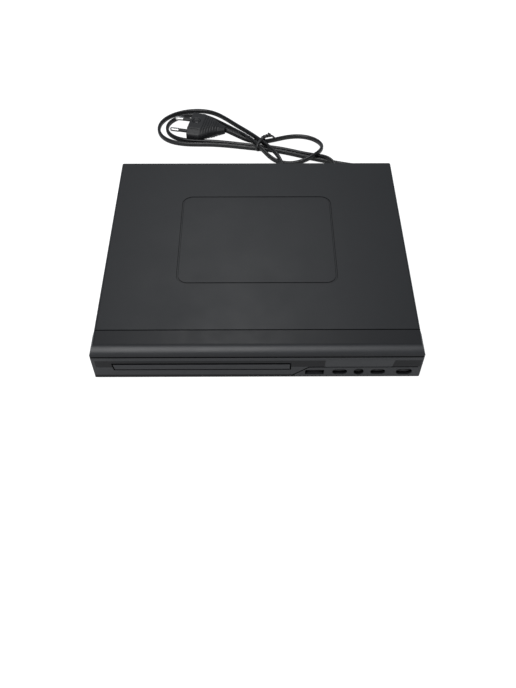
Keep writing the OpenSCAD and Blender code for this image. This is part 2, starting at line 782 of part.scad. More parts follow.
module loader_walls() {
    slab([loader_x[0], loader_x[0] + loader_wall], loader_y, [loader_z, wall_top]);
    slab([loader_x[1] - loader_wall, loader_x[1]], loader_y, [loader_z, wall_top]);
    // ledges that the tray's skirts slide on, and tabs over the tray's rim
    for (s = [-1, 1]) translate([tray_x + s * (loader_in - ledge_w / 2), 0, 0]) {
        slab([-ledge_w / 2 - 0.1, ledge_w / 2 + 0.1], loader_y,
            [tray_bot - seat - ledge_w, tray_bot - seat]);
        for (y = tab_y)
            slab([ledge_w / 2 - tab_w, ledge_w / 2 + tab_w], [y, y + tab_l], [tray_top + glide, wall_top]);
    }
}

module loader_frame() {
    color("#2c2d30") difference() {
        union() {
            slab(loader_x, loader_y, [loader_z, loader_top]);
            slab(ear_x, ear_y, [loader_z, loader_top]);
            slab(loader_x, [loader_y[1] - loader_wall, loader_y[1]], [loader_z, tray_bot - glide]);
            difference() {
                loader_walls();
                // window for the pulley and the belt
                slab([ear_x[0] - 2 * ledge_w, loader_x[1] + eps],
                    [pulley_y - pulley_r - 2, motor_y + motor_pulley_r + 4], [loader_top, tray_bot - seat]);
            }
            for (s = [-1, 1]) translate([tray_x + s * (well_w + bracket_t) / 2, hinge_y, 0])
                slab([-bracket_t / 2, bracket_t / 2], [-bracket_t, bracket_t], [loader_z, hinge_z + 3]);
            for (p = bridge_points()) pillar(p[0], p[1], loader_z, boss_r, wall_top - loader_z);
            // shelf for the motor on four legs
            slab([motor_x - motor_r, ear_x[1]], ear_y, [shelf_z, shelf_z + loader_t]);
            for (x = [motor_x - motor_r + leg, ear_x[1] - leg], y = [ear_y[0], ear_y[1] - leg])
                slab([x, x + leg], [y, y + leg], [loader_z, shelf_z + eps]);
            // seats and axles of the gears
            pillar(drive_x, drive_y, loader_z, axle_r + axle_seat, train_z - loader_z - seat);
            pillar(drive_x, drive_y, loader_z, axle_r, rack_z + rack_h - loader_z);
            pillar(pulley_x, pulley_y, loader_z, axle_r + axle_seat, pulley_z - loader_z - seat);
            pillar(pulley_x, pulley_y, loader_z, axle_r, train_z + train_h - loader_z + 1);
            // headed pegs that guide the cam slider
            for (x = peg_x) {
                pillar(tray_x + x, peg_y, loader_z, peg_r, loader_t + 2 * seat + cam_foot_t + 1);
                pillar(tray_x + x, peg_y, loader_top + 2 * seat + cam_foot_t, peg_head_r, 1);
            }
        }
        slab([tray_x - well_w / 2, tray_x + well_w / 2], well_y, [loader_z - eps, loader_top + eps]);
        for (s = [-1, 1]) translate([tray_x + s * (well_w + bracket_t) / 2, hinge_y, hinge_z])
            rotate([0, 90, 0]) cylinder(r = hinge_r + running, h = 2 * bracket_t, center = true);
        pillar(motor_x, motor_y, shelf_z - eps, motor_boss_r, loader_t + 2 * eps);
        for (p = loader_points()) pillar(p[0], p[1], loader_z - eps, screw_r, loader_t + 2 * eps);
        for (p = bridge_points()) pillar(p[0], p[1], wall_top - bridge_screw, screw_r, bridge_screw + eps);
    }
}

module clamp_bridge() {
    color("#b4b6b8") difference() {
        slab([loader_x[0] - bridge_boss - boss_r, loader_x[1] + bridge_boss + boss_r],
            [spindle_y - bridge_d / 2, spindle_y + bridge_d / 2], [wall_top, wall_top + sheet]);
        pillar(tray_x, spindle_y, wall_top - eps, puck_r + puck_gap, sheet + 2 * eps);
        for (p = bridge_points()) pillar(p[0], p[1], wall_top - eps, screw_r, sheet + 2 * eps);
    }
}

module clamp_puck() {
    color("#303134") union() {
        pillar(tray_x, spindle_y, disc_z + disc_t, puck_r, wall_top + sheet + seat - disc_z - disc_t);
        pillar(tray_x, spindle_y, wall_top + sheet + seat, puck_r + 4, puck_rim);
    }
}

module loader_motor() {
    z = shelf_z + loader_t;
    color("#a9abae") difference() {
        union() {
            pillar(motor_x, motor_y, z, motor_r, motor_h);
            pillar(motor_x, motor_y, shelf_z + seat, motor_boss_r, loader_t);
            pillar(motor_x, motor_y, z + motor_h - eps, motor_boss_r, 2 * eps);
        }
        pillar(motor_x, motor_y, shelf_z, shaft_r + running, shaft_l);
    }
}

// a pulley with a V groove around it, standing on z = 0
module pulley(r) {
    groove = belt_t + 0.3;
    difference() {
        cylinder(r = r, h = pulley_h);
        translate([0, 0, (pulley_h - groove) / 2]) difference() {
            cylinder(r = r + eps, h = groove);
            translate([0, 0, -eps]) cylinder(r = r - groove_d, h = pulley_h + 2 * eps);
        }
    }
}

module motor_pulley() {
    color("#e8e6de") union() {
        translate([motor_x, motor_y, pulley_z]) pulley(motor_pulley_r);
        pillar(motor_x, motor_y, pulley_z + pulley_h - eps, shaft_r, shaft_l);
    }
}

// how far the wheel's teeth are turned, so that one points at the rack
wheel_turn = 0;
// the pinion's gap faces the wheel's tooth
pinion_turn = 180 + train_angle + (train_angle - wheel_turn) * wheel_teeth / pinion_teeth
    + 180 / pinion_teeth;

module drive_gear() {
    color("#e9e7df") difference() {
        translate([drive_x, drive_y, 0]) {
            translate([0, 0, train_z]) linear_extrude(train_h) gear(train_module, wheel_teeth, wheel_turn);
            translate([0, 0, train_z + train_h])
                cylinder(r = rack_r - 2.5 * rack_module, h = rack_z - train_z - train_h);
            translate([0, 0, rack_z]) linear_extrude(rack_h) gear(rack_module, rack_teeth, 0);
        }
        pillar(drive_x, drive_y, loader_z, axle_r + running, top_z);
    }
}

module pulley_gear() {
    color("#e9e7df") difference() {
        translate([pulley_x, pulley_y, 0]) {
            translate([0, 0, pulley_z]) pulley(pulley_r);
            translate([0, 0, pulley_z + pulley_h]) cylinder(r = pinion_r - 1, h = glide);
            translate([0, 0, train_z]) linear_extrude(train_h) gear(train_module, pinion_teeth, pinion_turn);
        }
        pillar(pulley_x, pulley_y, loader_z, axle_r + running, top_z);
    }
}

module drive_belt() {
    gap = 0.15;
    r_big = pulley_r - groove_d + gap;
    r_small = motor_pulley_r - groove_d + gap;
    z = pulley_z + (pulley_h - belt_t) / 2;
    color("#151515") translate([0, 0, z]) linear_extrude(belt_t) difference() {
        hull() {
            translate([pulley_x, pulley_y]) circle(r_big + belt_t);
            translate([motor_x, motor_y]) circle(r_small + belt_t);
        }
        hull() {
            translate([pulley_x, pulley_y]) circle(r_big);
            translate([motor_x, motor_y]) circle(r_small);
        }
    }
}

// ---------- tray ----------

module disc_tray() {
    x0 = tray_x - tray_w / 2;
    x1 = tray_x + tray_w / 2;
    y1 = tray_y + tray_d;
    root_x = rack_x + 1.25 * rack_module;
    color("#232427") difference() {
        union() {
            slab([x0, x1], [tray_y, y1], [under_z, tray_top]);
            for (x = [x0, x1 - skirt_t]) slab([x, x + skirt_t], [tray_y, y1], [tray_bot, under_z + eps]);
            slab([x0, x1], [tray_y, tray_y + skirt_t], [tray_bot, under_z + eps]);
            slab([root_x, x1], [tray_y, y1], [tray_bot, under_z + eps]);
            translate([rack_x, drive_y, tray_bot]) linear_extrude(under_z - tray_bot + eps)
                rack(rack_module, tray_y + 2 * skirt_t - drive_y, tray_travel + rack_spare);
        }
        pillar(tray_x, spindle_y, recess_z, recess_r, recess_depth + eps);
        pillar(tray_x, spindle_y, recess_z - small_depth, small_r, recess_depth + eps);
        pillar(tray_x, spindle_y, tray_bot - eps, slot_w / 2, door_h + 2 * eps);
        slab([tray_x - slot_w / 2, tray_x + slot_w / 2], [spindle_y, y1 + eps],
            [tray_bot - eps, tray_top + eps]);
        // finger notches on both sides of the disc
        for (s = [-1, 1]) pillar(tray_x + s * notch_at[0], tray_y + notch_at[1], recess_z, notch_r, door_h);
    }
}

module tray_door() {
    color("#3a3b3e") along_y(face_y, face_y + door_t) door_outline(0);
}

// ---------- reader ----------

module cam_slider() {
    z0 = loader_top + seat;
    z1 = tray_bot - glide;
    x = [tray_x - cam_w / 2, tray_x + cam_w / 2];
    color("#d8d6cd") difference() {
        union() {
            slab(x, [cam_y, cam_y + cam_t], [z0, z1]);
            slab(x, [cam_y - cam_foot, cam_y + eps], [z0, z0 + cam_foot_t]);
        }
        // sloping slots for the traverse's pins
        for (s = [-1, 1]) translate([tray_x + s * cam_pin_x, 0, cam_pin_z])
            along_y(cam_y - eps, cam_y + cam_t + eps)
                band([[cam_slack, 0], [-cam_travel - cam_slack, -cam_drop]], 2 * (cam_pin_r + seat));
        // straight slots for the pegs
        for (x = peg_x) translate([tray_x + x, peg_y, z0 - eps]) linear_extrude(cam_foot_t + 2 * eps)
            band([[cam_slack, 0], [-cam_travel - cam_slack, 0]], 2 * (peg_r + seat));
    }
}

module traverse_frame() {
    x = [tray_x - traverse_w / 2, tray_x + traverse_w / 2];
    saddle = 2.2; // half the width of the lead screw's saddle
    color("#3b3c40") difference() {
        union() {
            difference() {
                slab(x, traverse_y, [traverse_z, traverse_z + traverse_t]);
                slab([x[0] + rail, x[1] - rail], [spindle_y + motor_disc_r + 1, rod_y[1] - holder_l],
                    [traverse_z - eps, traverse_z + traverse_t + eps]);
            }
            for (x0 = [x[0], x[1] - rail]) slab([x0, x0 + rail], traverse_y, [traverse_z, traverse_z + rail_h]);
            // rod holders
            for (s = [-1, 1], y = [rod_y[0], rod_y[1] - holder_l])
                slab([tray_x + s * rod_x - rod_r - 1, tray_x + s * rod_x + rod_r + 1], [y, y + holder_l],
                    [traverse_z, rod_z + rod_r + 1]);
            // front pins in the cam slider, rear pins in the loader's brackets
            for (s = [-1, 1]) translate([tray_x + s * cam_pin_x, 0, cam_pin_z])
                along_y(cam_y - seat, traverse_y[0] + 1) circle(cam_pin_r);
            for (s = [-1, 1]) slab([tray_x + s * cam_pin_x - 3, tray_x + s * cam_pin_x + 3],
                [traverse_y[0], traverse_y[0] + 2], [traverse_z, cam_pin_z + cam_pin_r + 0.5]);
            hinge_l = (well_w + bracket_t - traverse_w) / 2 + 2;
            for (s = [-1, 1]) translate([tray_x + s * (traverse_w + well_w + bracket_t) / 4, hinge_y, hinge_z])
                rotate([0, 90, 0]) cylinder(r = hinge_r, h = hinge_l, center = true);
            // saddle of the lead screw's far end
            slab([tray_x + screw_x - saddle, tray_x + screw_x + saddle], [screw_y[1] + seat, rod_y[1]],
                [traverse_z, rod_z + saddle]);
        }
        for (s = [-1, 1]) translate([tray_x + s * rod_x, 0, rod_z])
            along_y(rod_y[0] - eps, rod_y[1] + eps) circle(rod_r);
        translate([tray_x + screw_x, 0, rod_z]) {
            along_y(sled_motor_y[0], sled_motor_y[1]) circle(sled_motor_r);
            along_y(screw_y[1], rod_y[1] + eps) circle(core_r + running);
        }
        pillar(tray_x, spindle_y, traverse_z - eps, motor_disc_r, rod_z);
    }
}

module spindle_motor() {
    z = traverse_z - motor_sink;
    color("#9a9ca0") difference() {
        union() {
            pillar(tray_x, spindle_y, z, motor_disc_r, motor_disc_h);
            pillar(tray_x, spindle_y, z, motor_disc_r - 4, motor_disc_h + 0.6);
        }
        pillar(tray_x, spindle_y, traverse_z, spindle_r + running, rod_z);
    }
}

module turntable() {
    hub_z = traverse_z - motor_sink + motor_disc_h + 0.6 + glide;
    color("#26272a") union() {
        pillar(tray_x, spindle_y, disc_z - turntable_t, turntable_r, turntable_t);
        pillar(tray_x, spindle_y, hub_z, hub_r, disc_z - hub_z - 1);
        pillar(tray_x, spindle_y, disc_z - 1, cone_r, cone_h + 1);
        pillar(tray_x, spindle_y, traverse_z + glide, spindle_r, disc_z - traverse_z - 1);
    }
}

module guide_rods() {
    color("#d5d7d9") for (s = [-1, 1]) translate([tray_x + s * rod_x, 0, rod_z])
        along_y(rod_y[0], rod_y[1]) circle(rod_r);
}

module sled_motor() {
    color("#9a9ca0") translate([tray_x + screw_x, 0, rod_z]) difference() {
        along_y(sled_motor_y[0], sled_motor_y[1]) circle(sled_motor_r);
        along_y(sled_motor_y[1] - journal - seat, sled_motor_y[1] + eps) circle(core_r + running);
    }
}

module lead_screw() {
    color("#cfd1d3") translate([tray_x + screw_x, 0, rod_z]) union() {
        along_y(sled_motor_y[1] - journal, screw_y[1] + journal) circle(core_r);
        for (y = [screw_y[0] + 1:screw_pitch / 2:screw_y[1] - 2]) along_y(y, y + screw_pitch / 4)
            circle(lead_screw_r);
    }
}

module pickup_sled() {
    y = [lens_y - sled_d / 2 + 2, lens_y + sled_d / 2 + 2];
    head = 10; // half the width of the raised head
    half_h = rod_r + 0.6;
    arm = 3; // half the width of the arm that reaches to the lead screw
    color("#55585c") difference() {
        union() {
            slab([tray_x - rod_x - 3, tray_x + rod_x + 3], y, [rod_z - half_h, rod_z + half_h]);
            slab([tray_x - head, tray_x + head], [lens_y - 8, lens_y + head], [rod_z, recess_z - lens_gap * 2]);
            slab([tray_x + rod_x, tray_x + screw_x - lead_screw_r - seat], [lens_y - arm, lens_y + arm],
                [rod_z - 1, rod_z + 1]);
        }
        for (s = [-1, 1]) translate([tray_x + s * rod_x, 0, rod_z]) along_y(y[0] - eps, y[1] + eps)
            circle(rod_r + running);
        pillar(tray_x, lens_y, recess_z - lens_h - 2 * seat, lens_r + seat, lens_h + eps);
    }
}

module objective_lens() {
    color("#7d93a8") union() {
        pillar(tray_x, lens_y, recess_z - lens_h, lens_r, lens_h - 0.4);
        pillar(tray_x, lens_y, recess_z - lens_h, lens_r - 0.8, lens_h - lens_gap);
    }
}

// ---------- boards ----------

module main_board() {
    color("#1f5c3a") difference() {
        slab(main_x, main_y, [board_z, board_z + board_t]);
        for (p = board_points()) pillar(p[0], p[1], board_z - eps, screw_r, board_t + 2 * eps);
    }
}

module main_board_parts() {
    z = board_z + board_t;
    color("#1c1c1e") union() {
        // decoder, memory and motor driver: middle and width, front and back edge as shares of the board
        for (c = [[66, 20, 0.18, 0.53], [90, 12, 0.18, 0.41], [31, 14, 0.09, 0.32]])
            slab([main_x[0] + c[0] - c[1] / 2, main_x[0] + c[0] + c[1] / 2],
                [main_y[0] + c[2] * main_d, main_y[0] + c[3] * main_d], [z, z + chip_h]);
        slab([ribbon_x[0] - 3, ribbon_x[1] + 2.4], connector_y, [z, z + connector_h]);
        for (x = [12, 104, 112]) pillar(main_x[0] + x, main_y[0] + 12, z, small_can[0], small_can[1]);
    }
}

module power_board() {
    color("#b08a4a") difference() {
        slab(supply_x, supply_y, [board_z, board_z + board_t]);
        for (p = board_points()) pillar(p[0], p[1], board_z - eps, screw_r, board_t + 2 * eps);
    }
}

module power_transformer() {
    z = board_z + board_t;
    mid = [(supply_x[0] + supply_x[1]) / 2, (supply_y[0] + supply_y[1]) / 2 - 9];
    color("#d9c24a") union() {
        for (low = [0, coil_h + rim_h]) slab([mid[0] - core_w / 2, mid[0] + core_w / 2],
            [mid[1] - core_d / 2, mid[1] + core_d / 2], [z + low, z + low + rim_h]);
        slab([mid[0] - core_w / 2 + wound, mid[0] + core_w / 2 - wound],
            [mid[1] - core_d / 2 + wound, mid[1] + core_d / 2 - wound], [z, z + coil_h + rim_h]);
    }
}

module power_capacitors() {
    z = board_z + board_t;
    color("#2a2d52") union() {
        pillar(supply_x[1] - big_can[0] - 6, supply_y[1] - 42, z, big_can[0], big_can[1]);
        for (k = [0:2]) pillar(supply_x[0] + 12 + can_pitch * k, supply_y[0] + 24, z, can[0], can[1]);
        slab([supply_x[0] + 8, supply_x[0] + 8 + film_w], [supply_y[1] - 32, supply_y[1] - 32 + film_d],
            [z, z + can[1]]);
    }
}

module front_board() {
    color("#1f5c3a") difference() {
        slab(front_board_x, [front_board_y, front_board_y + board_t], front_board_z);
        slab([usb_x - usb_w / 2, usb_x + usb_w / 2], [front_board_y - eps, front_board_y + board_t + eps],
            [front_board_z[0] - eps, usb_z + usb_h / 2 + glide]);
        for (p = post_at) along_y(front_board_y - eps, front_board_y + board_t + eps)
            translate(p) circle(screw_r);
    }
}

module key_switches() {
    color("#2b2b2d") difference() {
        for (x = button_xs) slab([x - switch_w / 2, x + switch_w / 2],
            [front_board_y - switch_d, front_board_y], [button_z - switch_w / 2, button_z + switch_w / 2]);
        for (x = button_xs) translate([x, 0, button_z])
            along_y(front_board_y - switch_d - eps, plunger_y + plunger_l + press + seat)
                circle(plunger_r + running);
    }
}

module led_display() {
    half_h = 3.4;
    color("#c9ccd0") slab([window_x[0] + 4, window_x[1] - 5], [wall_y + 1.2, front_board_y],
        [strip_z - half_h, strip_z + half_h]);
}

module ir_receiver() {
    half = 3; // half its width and height, and how far its eye stands out
    color("#3a2a38") union() {
        slab([ir_x - half, ir_x + half], [wall_y + half, front_board_y], [strip_z - half, strip_z + half]);
        translate([ir_x, wall_y + half, strip_z]) rotate([90, 0, 0]) cylinder(r = 2.2, h = half);
    }
}

module usb_socket() {
    inner = [12.5, 5.12];
    t = 0.3;
    color("#c6c8ca") along_y(wall_y, wall_y + 13) translate([usb_x, usb_z]) difference() {
        square([inner[0] + 2 * t, inner[1] + 2 * t], center = true);
        square(inner, center = true);
    }
}

module usb_tongue() {
    color("#f0f0ee") union() {
        slab([usb_x - 5.5, usb_x + 5.5], [wall_y + 4.2, wall_y + 12], [usb_z + 0.3, usb_z + 2.1]);
        slab([usb_x - 6.2, usb_x + 6.2], [wall_y + 11, wall_y + 12.8], [usb_z - 2.5, usb_z + 2.5]);
    }
}

// flat cable from the front board to the main board, along the pan
module front_ribbon() {
    y = [front_board_y + board_t, main_y[0] - 3];
    rise = base_z + 12; // where it leaves the front board
    over = board_z + board_t + connector_h;
    color("#d9d9d2") union() {
        slab([ribbon_x[0], front_board_x[0] + 3], [y[0], y[0] + ribbon_t], [rise, rise + 2]);
        slab(ribbon_x, [y[0], y[0] + ribbon_t], [base_z, rise + 2]);
        slab(ribbon_x, y, [base_z, base_z + ribbon_t]);
        slab(ribbon_x, [y[1], y[1] + ribbon_t], [base_z, over + ribbon_t]);
        slab(ribbon_x, [y[1], connector_y[0] + 2], [over, over + ribbon_t]);
    }
}

// ---------- buttons ----------

module button_cap(k) {
    color("#46474b") union() {
        along_y(face_y + cap_sink, wall_y + seat + flange_t) button_outline(k, 0);
        along_y(wall_y + seat, wall_y + seat + flange_t) button_outline(k, flange_out);
        translate([button_xs[k], wall_y + seat, button_z]) rotate([-90, 0, 0])
            cylinder(r = plunger_r, h = plunger_y - wall_y - seat);
    }
}

module eject_button() { button_cap(0); }
module play_button() { button_cap(1); }
module stop_button() { button_cap(2); }
module power_button() { button_cap(3); }

module key_plunger(x) {
    color("#e9e7df") translate([x, 0, button_z]) along_y(plunger_y, plunger_y + plunger_l) circle(plunger_r);
}

module eject_plunger() { key_plunger(eject_x); }
module play_plunger() { key_plunger(play_x); }
module stop_plunger() { key_plunger(stop_x); }
module power_plunger() { key_plunger(power_x); }

// ---------- mains lead and plug ----------

module cord_gland() {
    collar = 2.4; // thickness of its outer collar
    color("#17181a") translate([gland_x, 0, gland_z]) rotate([-90, 0, 0]) union() {
        translate([0, 0, panel_y - sheet - 4]) cylinder(r = gland_r + 1.6, h = 4);
        translate([0, 0, panel_y - sheet]) cylinder(r = gland_r, h = sheet);
        translate([0, 0, panel_y]) cylinder(r = gland_r + 1.6, h = collar);
        translate([0, 0, panel_y + collar]) cylinder(r1 = gland_r, r2 = lead_w / 2 + 0.6, h = gland_l - collar);
    }
}

// a point on a smooth curve through four others
function smooth(a, b, c, d, t) = 0.5 * (2 * b + (c - a) * t + (2 * a - 5 * b + 4 * c - d) * t * t
    + (3 * b - a - 3 * c + d) * t * t * t);
function on_route(route, k, t) = smooth(route[max(k - 1, 0)], route[k], route[k + 1],
    route[min(k + 2, len(route) - 1)], t);
function route_points(route, steps) = concat(
    [for (k = [0:len(route) - 2], j = [0:steps - 1]) on_route(route, k, j / steps)],
    [route[len(route) - 1]]);
function heading(points, i) = let(a = points[max(i - 1, 0)], b = points[min(i + 1, len(points) - 1)])
    i == 0 ? [0, 1, 0] : (b - a) / norm(b - a);
// a ring of the flat lead's section, standing on edge
function lead_ring(centre, along) = let(side = [along[1], -along[0], 0] / norm([along[0], along[1]]),
        up = cross(side, along))
    [for (k = [0:lead_sides - 1]) let(a = 360 * (k + 0.5) / lead_sides)
        centre + side * cos(a) * lead_t / 2 + up * sin(a) * lead_w / 2];

module mains_lead() {
    points = route_points(lead_route, 2);
    rings = len(points);
    color("#17181a") polyhedron(
        points = [for (i = [0:rings - 1]) each lead_ring(points[i], heading(points, i))],
        faces = concat(
            [[for (k = [0:lead_sides - 1]) k]],
            [for (i = [0:rings - 2], k = [0:lead_sides - 1]) let(a = i * lead_sides + k,
                b = i * lead_sides + (k + 1) % lead_sides) [a, a + lead_sides, b + lead_sides, b]],
            [[for (k = [lead_sides - 1:-1:0]) (rings - 1) * lead_sides + k]]));
}

module mains_hank() {
    color("#17181a") union() {
        linear_extrude(lead_w) {
            band(left_lobe, 3.6 * lead_t, knuckle);
            band(right_lobe, 1.6 * lead_t, knuckle);
            band(gland_run, 1.6 * lead_t, knuckle);
            band(small_loop, 1.6 * lead_t, knuckle);
            band(plug_run, 1.6 * lead_t, knuckle);
        }
        linear_extrude(2 * lead_w) band(knot_run, 2.4 * lead_t, knuckle);
    }
}

module cord_tie() {
    wide = 14;
    high = 2 * lead_w + 0.2;
    wire_w = 3.2;
    t = 1;
    color("#1c1c1e") translate([tie_at[0], tie_at[1], 0]) rotate(-32) difference() {
        translate([-wire_w / 2, -wide / 2 - t, 0]) cube([wire_w, wide + 2 * t, high + t]);
        translate([-wire_w, -wide / 2, -eps]) cube([2 * wire_w, wide, high + eps]);
    }
}

module at_plug() {
    translate([plug_at[0], plug_at[1], plug_z]) rotate(plug_angle) children();
}

module plug_body() {
    shoulder = 24; // where the taper ends
    tail_l = 5;
    tail = 3.2; // half the tail's width at its end, and where the taper starts
    neck = 5.6;
    flat = 12.5; // half the width of the flat faces, and half the height of the flanks
    flank = 2.5;
    half_t = plug_t / 2;
    rib = 1;
    rib_pitch = 2.4;
    color("#141416") at_plug() difference() {
        intersection() {
            translate([0, 0, -half_t]) linear_extrude(plug_t) polygon([[0, -tail], [tail_l, -neck],
                [shoulder, -plug_half_w], [plug_l, -plug_half_w], [plug_l, plug_half_w],
                [shoulder, plug_half_w], [tail_l, neck], [0, tail]]);
            along_x(0, plug_l) polygon([[-plug_half_w, -flank], [-flat, -half_t], [flat, -half_t],
                [plug_half_w, -flank], [plug_half_w, flank], [flat, half_t], [-flat, half_t],
                [-plug_half_w, flank]]);
            along_y(-plug_half_w, plug_half_w) polygon([[0, -tail], [2 * tail_l, -half_t],
                [plug_l, -half_t], [plug_l, half_t], [2 * tail_l, half_t], [0, tail]]);
        }
        for (k = [0:6], s = [-1, 1]) translate([tail_l + 2 * rib + rib_pitch * k, 0, s * half_t])
            cube([rib, 3 * plug_half_w, rib], center = true);
        for (s = [-1, 1]) translate([plug_l - 6.5, 0, s * half_t]) cylinder(r = 4, h = 2, center = true);
    }
}

module plug_pins() {
    color("#d8d9db") at_plug() for (s = [-1, 1]) translate([plug_l, s * pin_gap / 2, 0]) rotate([0, 90, 0]) {
        cylinder(r = core_pin_r, h = sleeve_l);
        translate([0, 0, sleeve_l]) cylinder(r = pin_r, h = pin_l - sleeve_l - pin_r);
        translate([0, 0, pin_l - pin_r]) sphere(r = pin_r);
    }
}

module plug_sleeves() {
    color("#141416") at_plug() for (s = [-1, 1]) translate([plug_l, s * pin_gap / 2, 0]) rotate([0, 90, 0])
        difference() {
            cylinder(r = sleeve_r, h = sleeve_l);
            translate([0, 0, -eps]) cylinder(r = core_pin_r, h = sleeve_l + 2 * eps);
        }
}

chassis_pan();
top_cover();
front_bezel();
fascia_strip();
display_window();
case_feet();
case_screws();
jack_block();
jack_shells();
jack_ring_yellow();
jack_ring_white();
jack_ring_red();
loader_frame();
clamp_bridge();
loader_motor();
drive_belt();
main_board();
main_board_parts();
power_board();
power_transformer();
power_capacitors();
front_board();
key_switches();
led_display();
ir_receiver();
usb_socket();
usb_tongue();
front_ribbon();
board_screws();
cord_gland();
mains_lead();
mains_hank();
cord_tie();
plug_body();
plug_pins();
plug_sleeves();
disc_tray();
tray_door();
drive_gear();
pulley_gear();
motor_pulley();
cam_slider();
traverse_frame();
spindle_motor();
guide_rods();
sled_motor();
turntable();
lead_screw();
pickup_sled();
objective_lens();
clamp_puck();
eject_button();
play_button();
stop_button();
power_button();
eject_plunger();
play_plunger();
stop_plunger();
power_plunger();
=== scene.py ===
import json
import math

import bmesh
import bpy
import numpy as np
from mathutils import Matrix, Vector

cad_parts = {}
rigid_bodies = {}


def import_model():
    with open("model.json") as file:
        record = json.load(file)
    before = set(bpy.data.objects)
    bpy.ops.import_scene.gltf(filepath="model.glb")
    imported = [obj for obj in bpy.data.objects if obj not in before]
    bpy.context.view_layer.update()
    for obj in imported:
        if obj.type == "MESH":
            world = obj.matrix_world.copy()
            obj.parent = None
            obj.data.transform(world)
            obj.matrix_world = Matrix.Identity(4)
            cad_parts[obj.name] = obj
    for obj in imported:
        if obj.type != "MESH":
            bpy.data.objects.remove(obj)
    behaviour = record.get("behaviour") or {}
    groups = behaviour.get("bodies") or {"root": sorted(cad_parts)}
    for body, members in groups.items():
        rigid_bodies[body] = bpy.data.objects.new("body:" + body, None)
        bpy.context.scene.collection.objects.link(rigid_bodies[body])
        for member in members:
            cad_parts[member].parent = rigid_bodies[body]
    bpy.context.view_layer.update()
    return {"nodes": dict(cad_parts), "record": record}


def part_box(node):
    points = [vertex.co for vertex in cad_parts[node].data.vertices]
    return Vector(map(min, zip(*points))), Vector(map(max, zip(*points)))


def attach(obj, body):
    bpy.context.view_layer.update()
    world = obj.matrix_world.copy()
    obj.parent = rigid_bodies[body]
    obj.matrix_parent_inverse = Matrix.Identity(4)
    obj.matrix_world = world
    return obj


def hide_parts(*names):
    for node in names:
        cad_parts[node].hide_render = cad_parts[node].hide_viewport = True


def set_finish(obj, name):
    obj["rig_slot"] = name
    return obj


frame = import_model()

MM = 0.001
TURN = 2 * math.pi
SQUARE = ((-1, -1), (1, -1), (1, 1), (-1, 1))
NODES = frame["nodes"]


# ---------- camera ----------

# fitted to the case's corners in the photograph: radians, metres and millimetres of lens
PITCH, YAW, ROLL = 0.9163, -0.0052, 0.00107
CAMERA_AT = (-0.001145, -0.4182, 0.4486)
LENS, SENSOR_W = 37.54, 36
CLIP = (0.02, 20)


def make_camera():
    """The photograph's view: from above the front, 52.5 degrees down."""
    ahead = Vector((-math.sin(YAW), math.cos(YAW), 0))
    side = Vector((math.cos(YAW), math.sin(YAW), 0))
    up = Vector((0, 0, 1))
    look = math.cos(PITCH) * ahead - math.sin(PITCH) * up
    down = -math.sin(PITCH) * ahead - math.cos(PITCH) * up
    right = math.cos(ROLL) * side - math.sin(ROLL) * down
    low = math.sin(ROLL) * side + math.cos(ROLL) * down
    data = bpy.data.cameras.new("camera")
    data.sensor_width = SENSOR_W
    data.lens = LENS
    data.clip_start, data.clip_end = CLIP
    camera = bpy.data.objects.new("camera", data)
    bpy.context.scene.collection.objects.link(camera)
    camera.matrix_world = Matrix.Translation(CAMERA_AT) @ Matrix((right, -low, -look)).transposed().to_4x4()
    bpy.context.scene.camera = camera


# ---------- helpers for shapes ----------

def new_object(name, verts, faces, smooth=True):
    """An object with its faces turned outwards."""
    mesh = bpy.data.meshes.new(name)
    mesh.from_pydata([tuple(v) for v in verts], [], [tuple(f) for f in faces])
    mesh.validate()
    work = bmesh.new()
    work.from_mesh(mesh)
    bmesh.ops.recalc_face_normals(work, faces=work.faces)
    work.to_mesh(mesh)
    work.free()
    for p in mesh.polygons:
        p.use_smooth = smooth
    piece = bpy.data.objects.new(name, mesh)
    bpy.context.scene.collection.objects.link(piece)
    return piece


def joined(parts):
    """Vertices and faces of several (verts, faces) pairs as one pair."""
    verts, faces = [], []
    for v, f in parts:
        base = len(verts)
        verts += [tuple(p) for p in v]
        faces += [tuple(i + base for i in g) for g in f]
    return verts, faces


def loft(rings, closed=False):
    """A skin over rings of as many points each: closed round to the first ring, or with its ends filled."""
    m, n = len(rings), len(rings[0])
    verts = [p for ring in rings for p in ring]
    faces = [(i * n + k, i * n + (k + 1) % n, (i + 1) % m * n + (k + 1) % n, (i + 1) % m * n + k)
             for i in range(m if closed else m - 1) for k in range(n)]
    if not closed:
        faces.append(tuple(range(n - 1, -1, -1)))
        faces.append(tuple(range((m - 1) * n, m * n)))
    return verts, faces


def around(count):
    """Cosine and sine of count directions, once round."""
    return [(math.cos(TURN * k / count), math.sin(TURN * k / count)) for k in range(count)]


def arc(x, y, r, start, step, count):
    """Points on a circle about (x, y), from start on, a step of degrees apart."""
    angles = [math.radians(start + step * k) for k in range(count)]
    return [(x + r * math.cos(a), y + r * math.sin(a)) for a in angles]


def lathe(profile, place, count=48):
    """A profile of (radius, height) turned about Z and put in place. Ends at radius 0 are closed."""
    return loft([[place @ Vector((r * c, r * s, z)) for c, s in around(count)] for r, z in profile])


def in_mm(profile):
    """Pairs given in millimetres, in metres."""
    return [(a * MM, b * MM) for a, b in profile]


def placed(at, degrees=0, axis="Z"):
    """The place of something turned about an axis and then moved."""
    return Matrix.Translation(at) @ Matrix.Rotation(math.radians(degrees), 4, axis)


def soften(piece, width, segments, angle):
    """Rounds the piece's edges that are sharper than the angle."""
    mod = piece.modifiers.new("edges", "BEVEL")
    mod.width = width
    mod.segments = segments
    mod.limit_method = "ANGLE"
    mod.angle_limit = angle
    mod.harden_normals = True


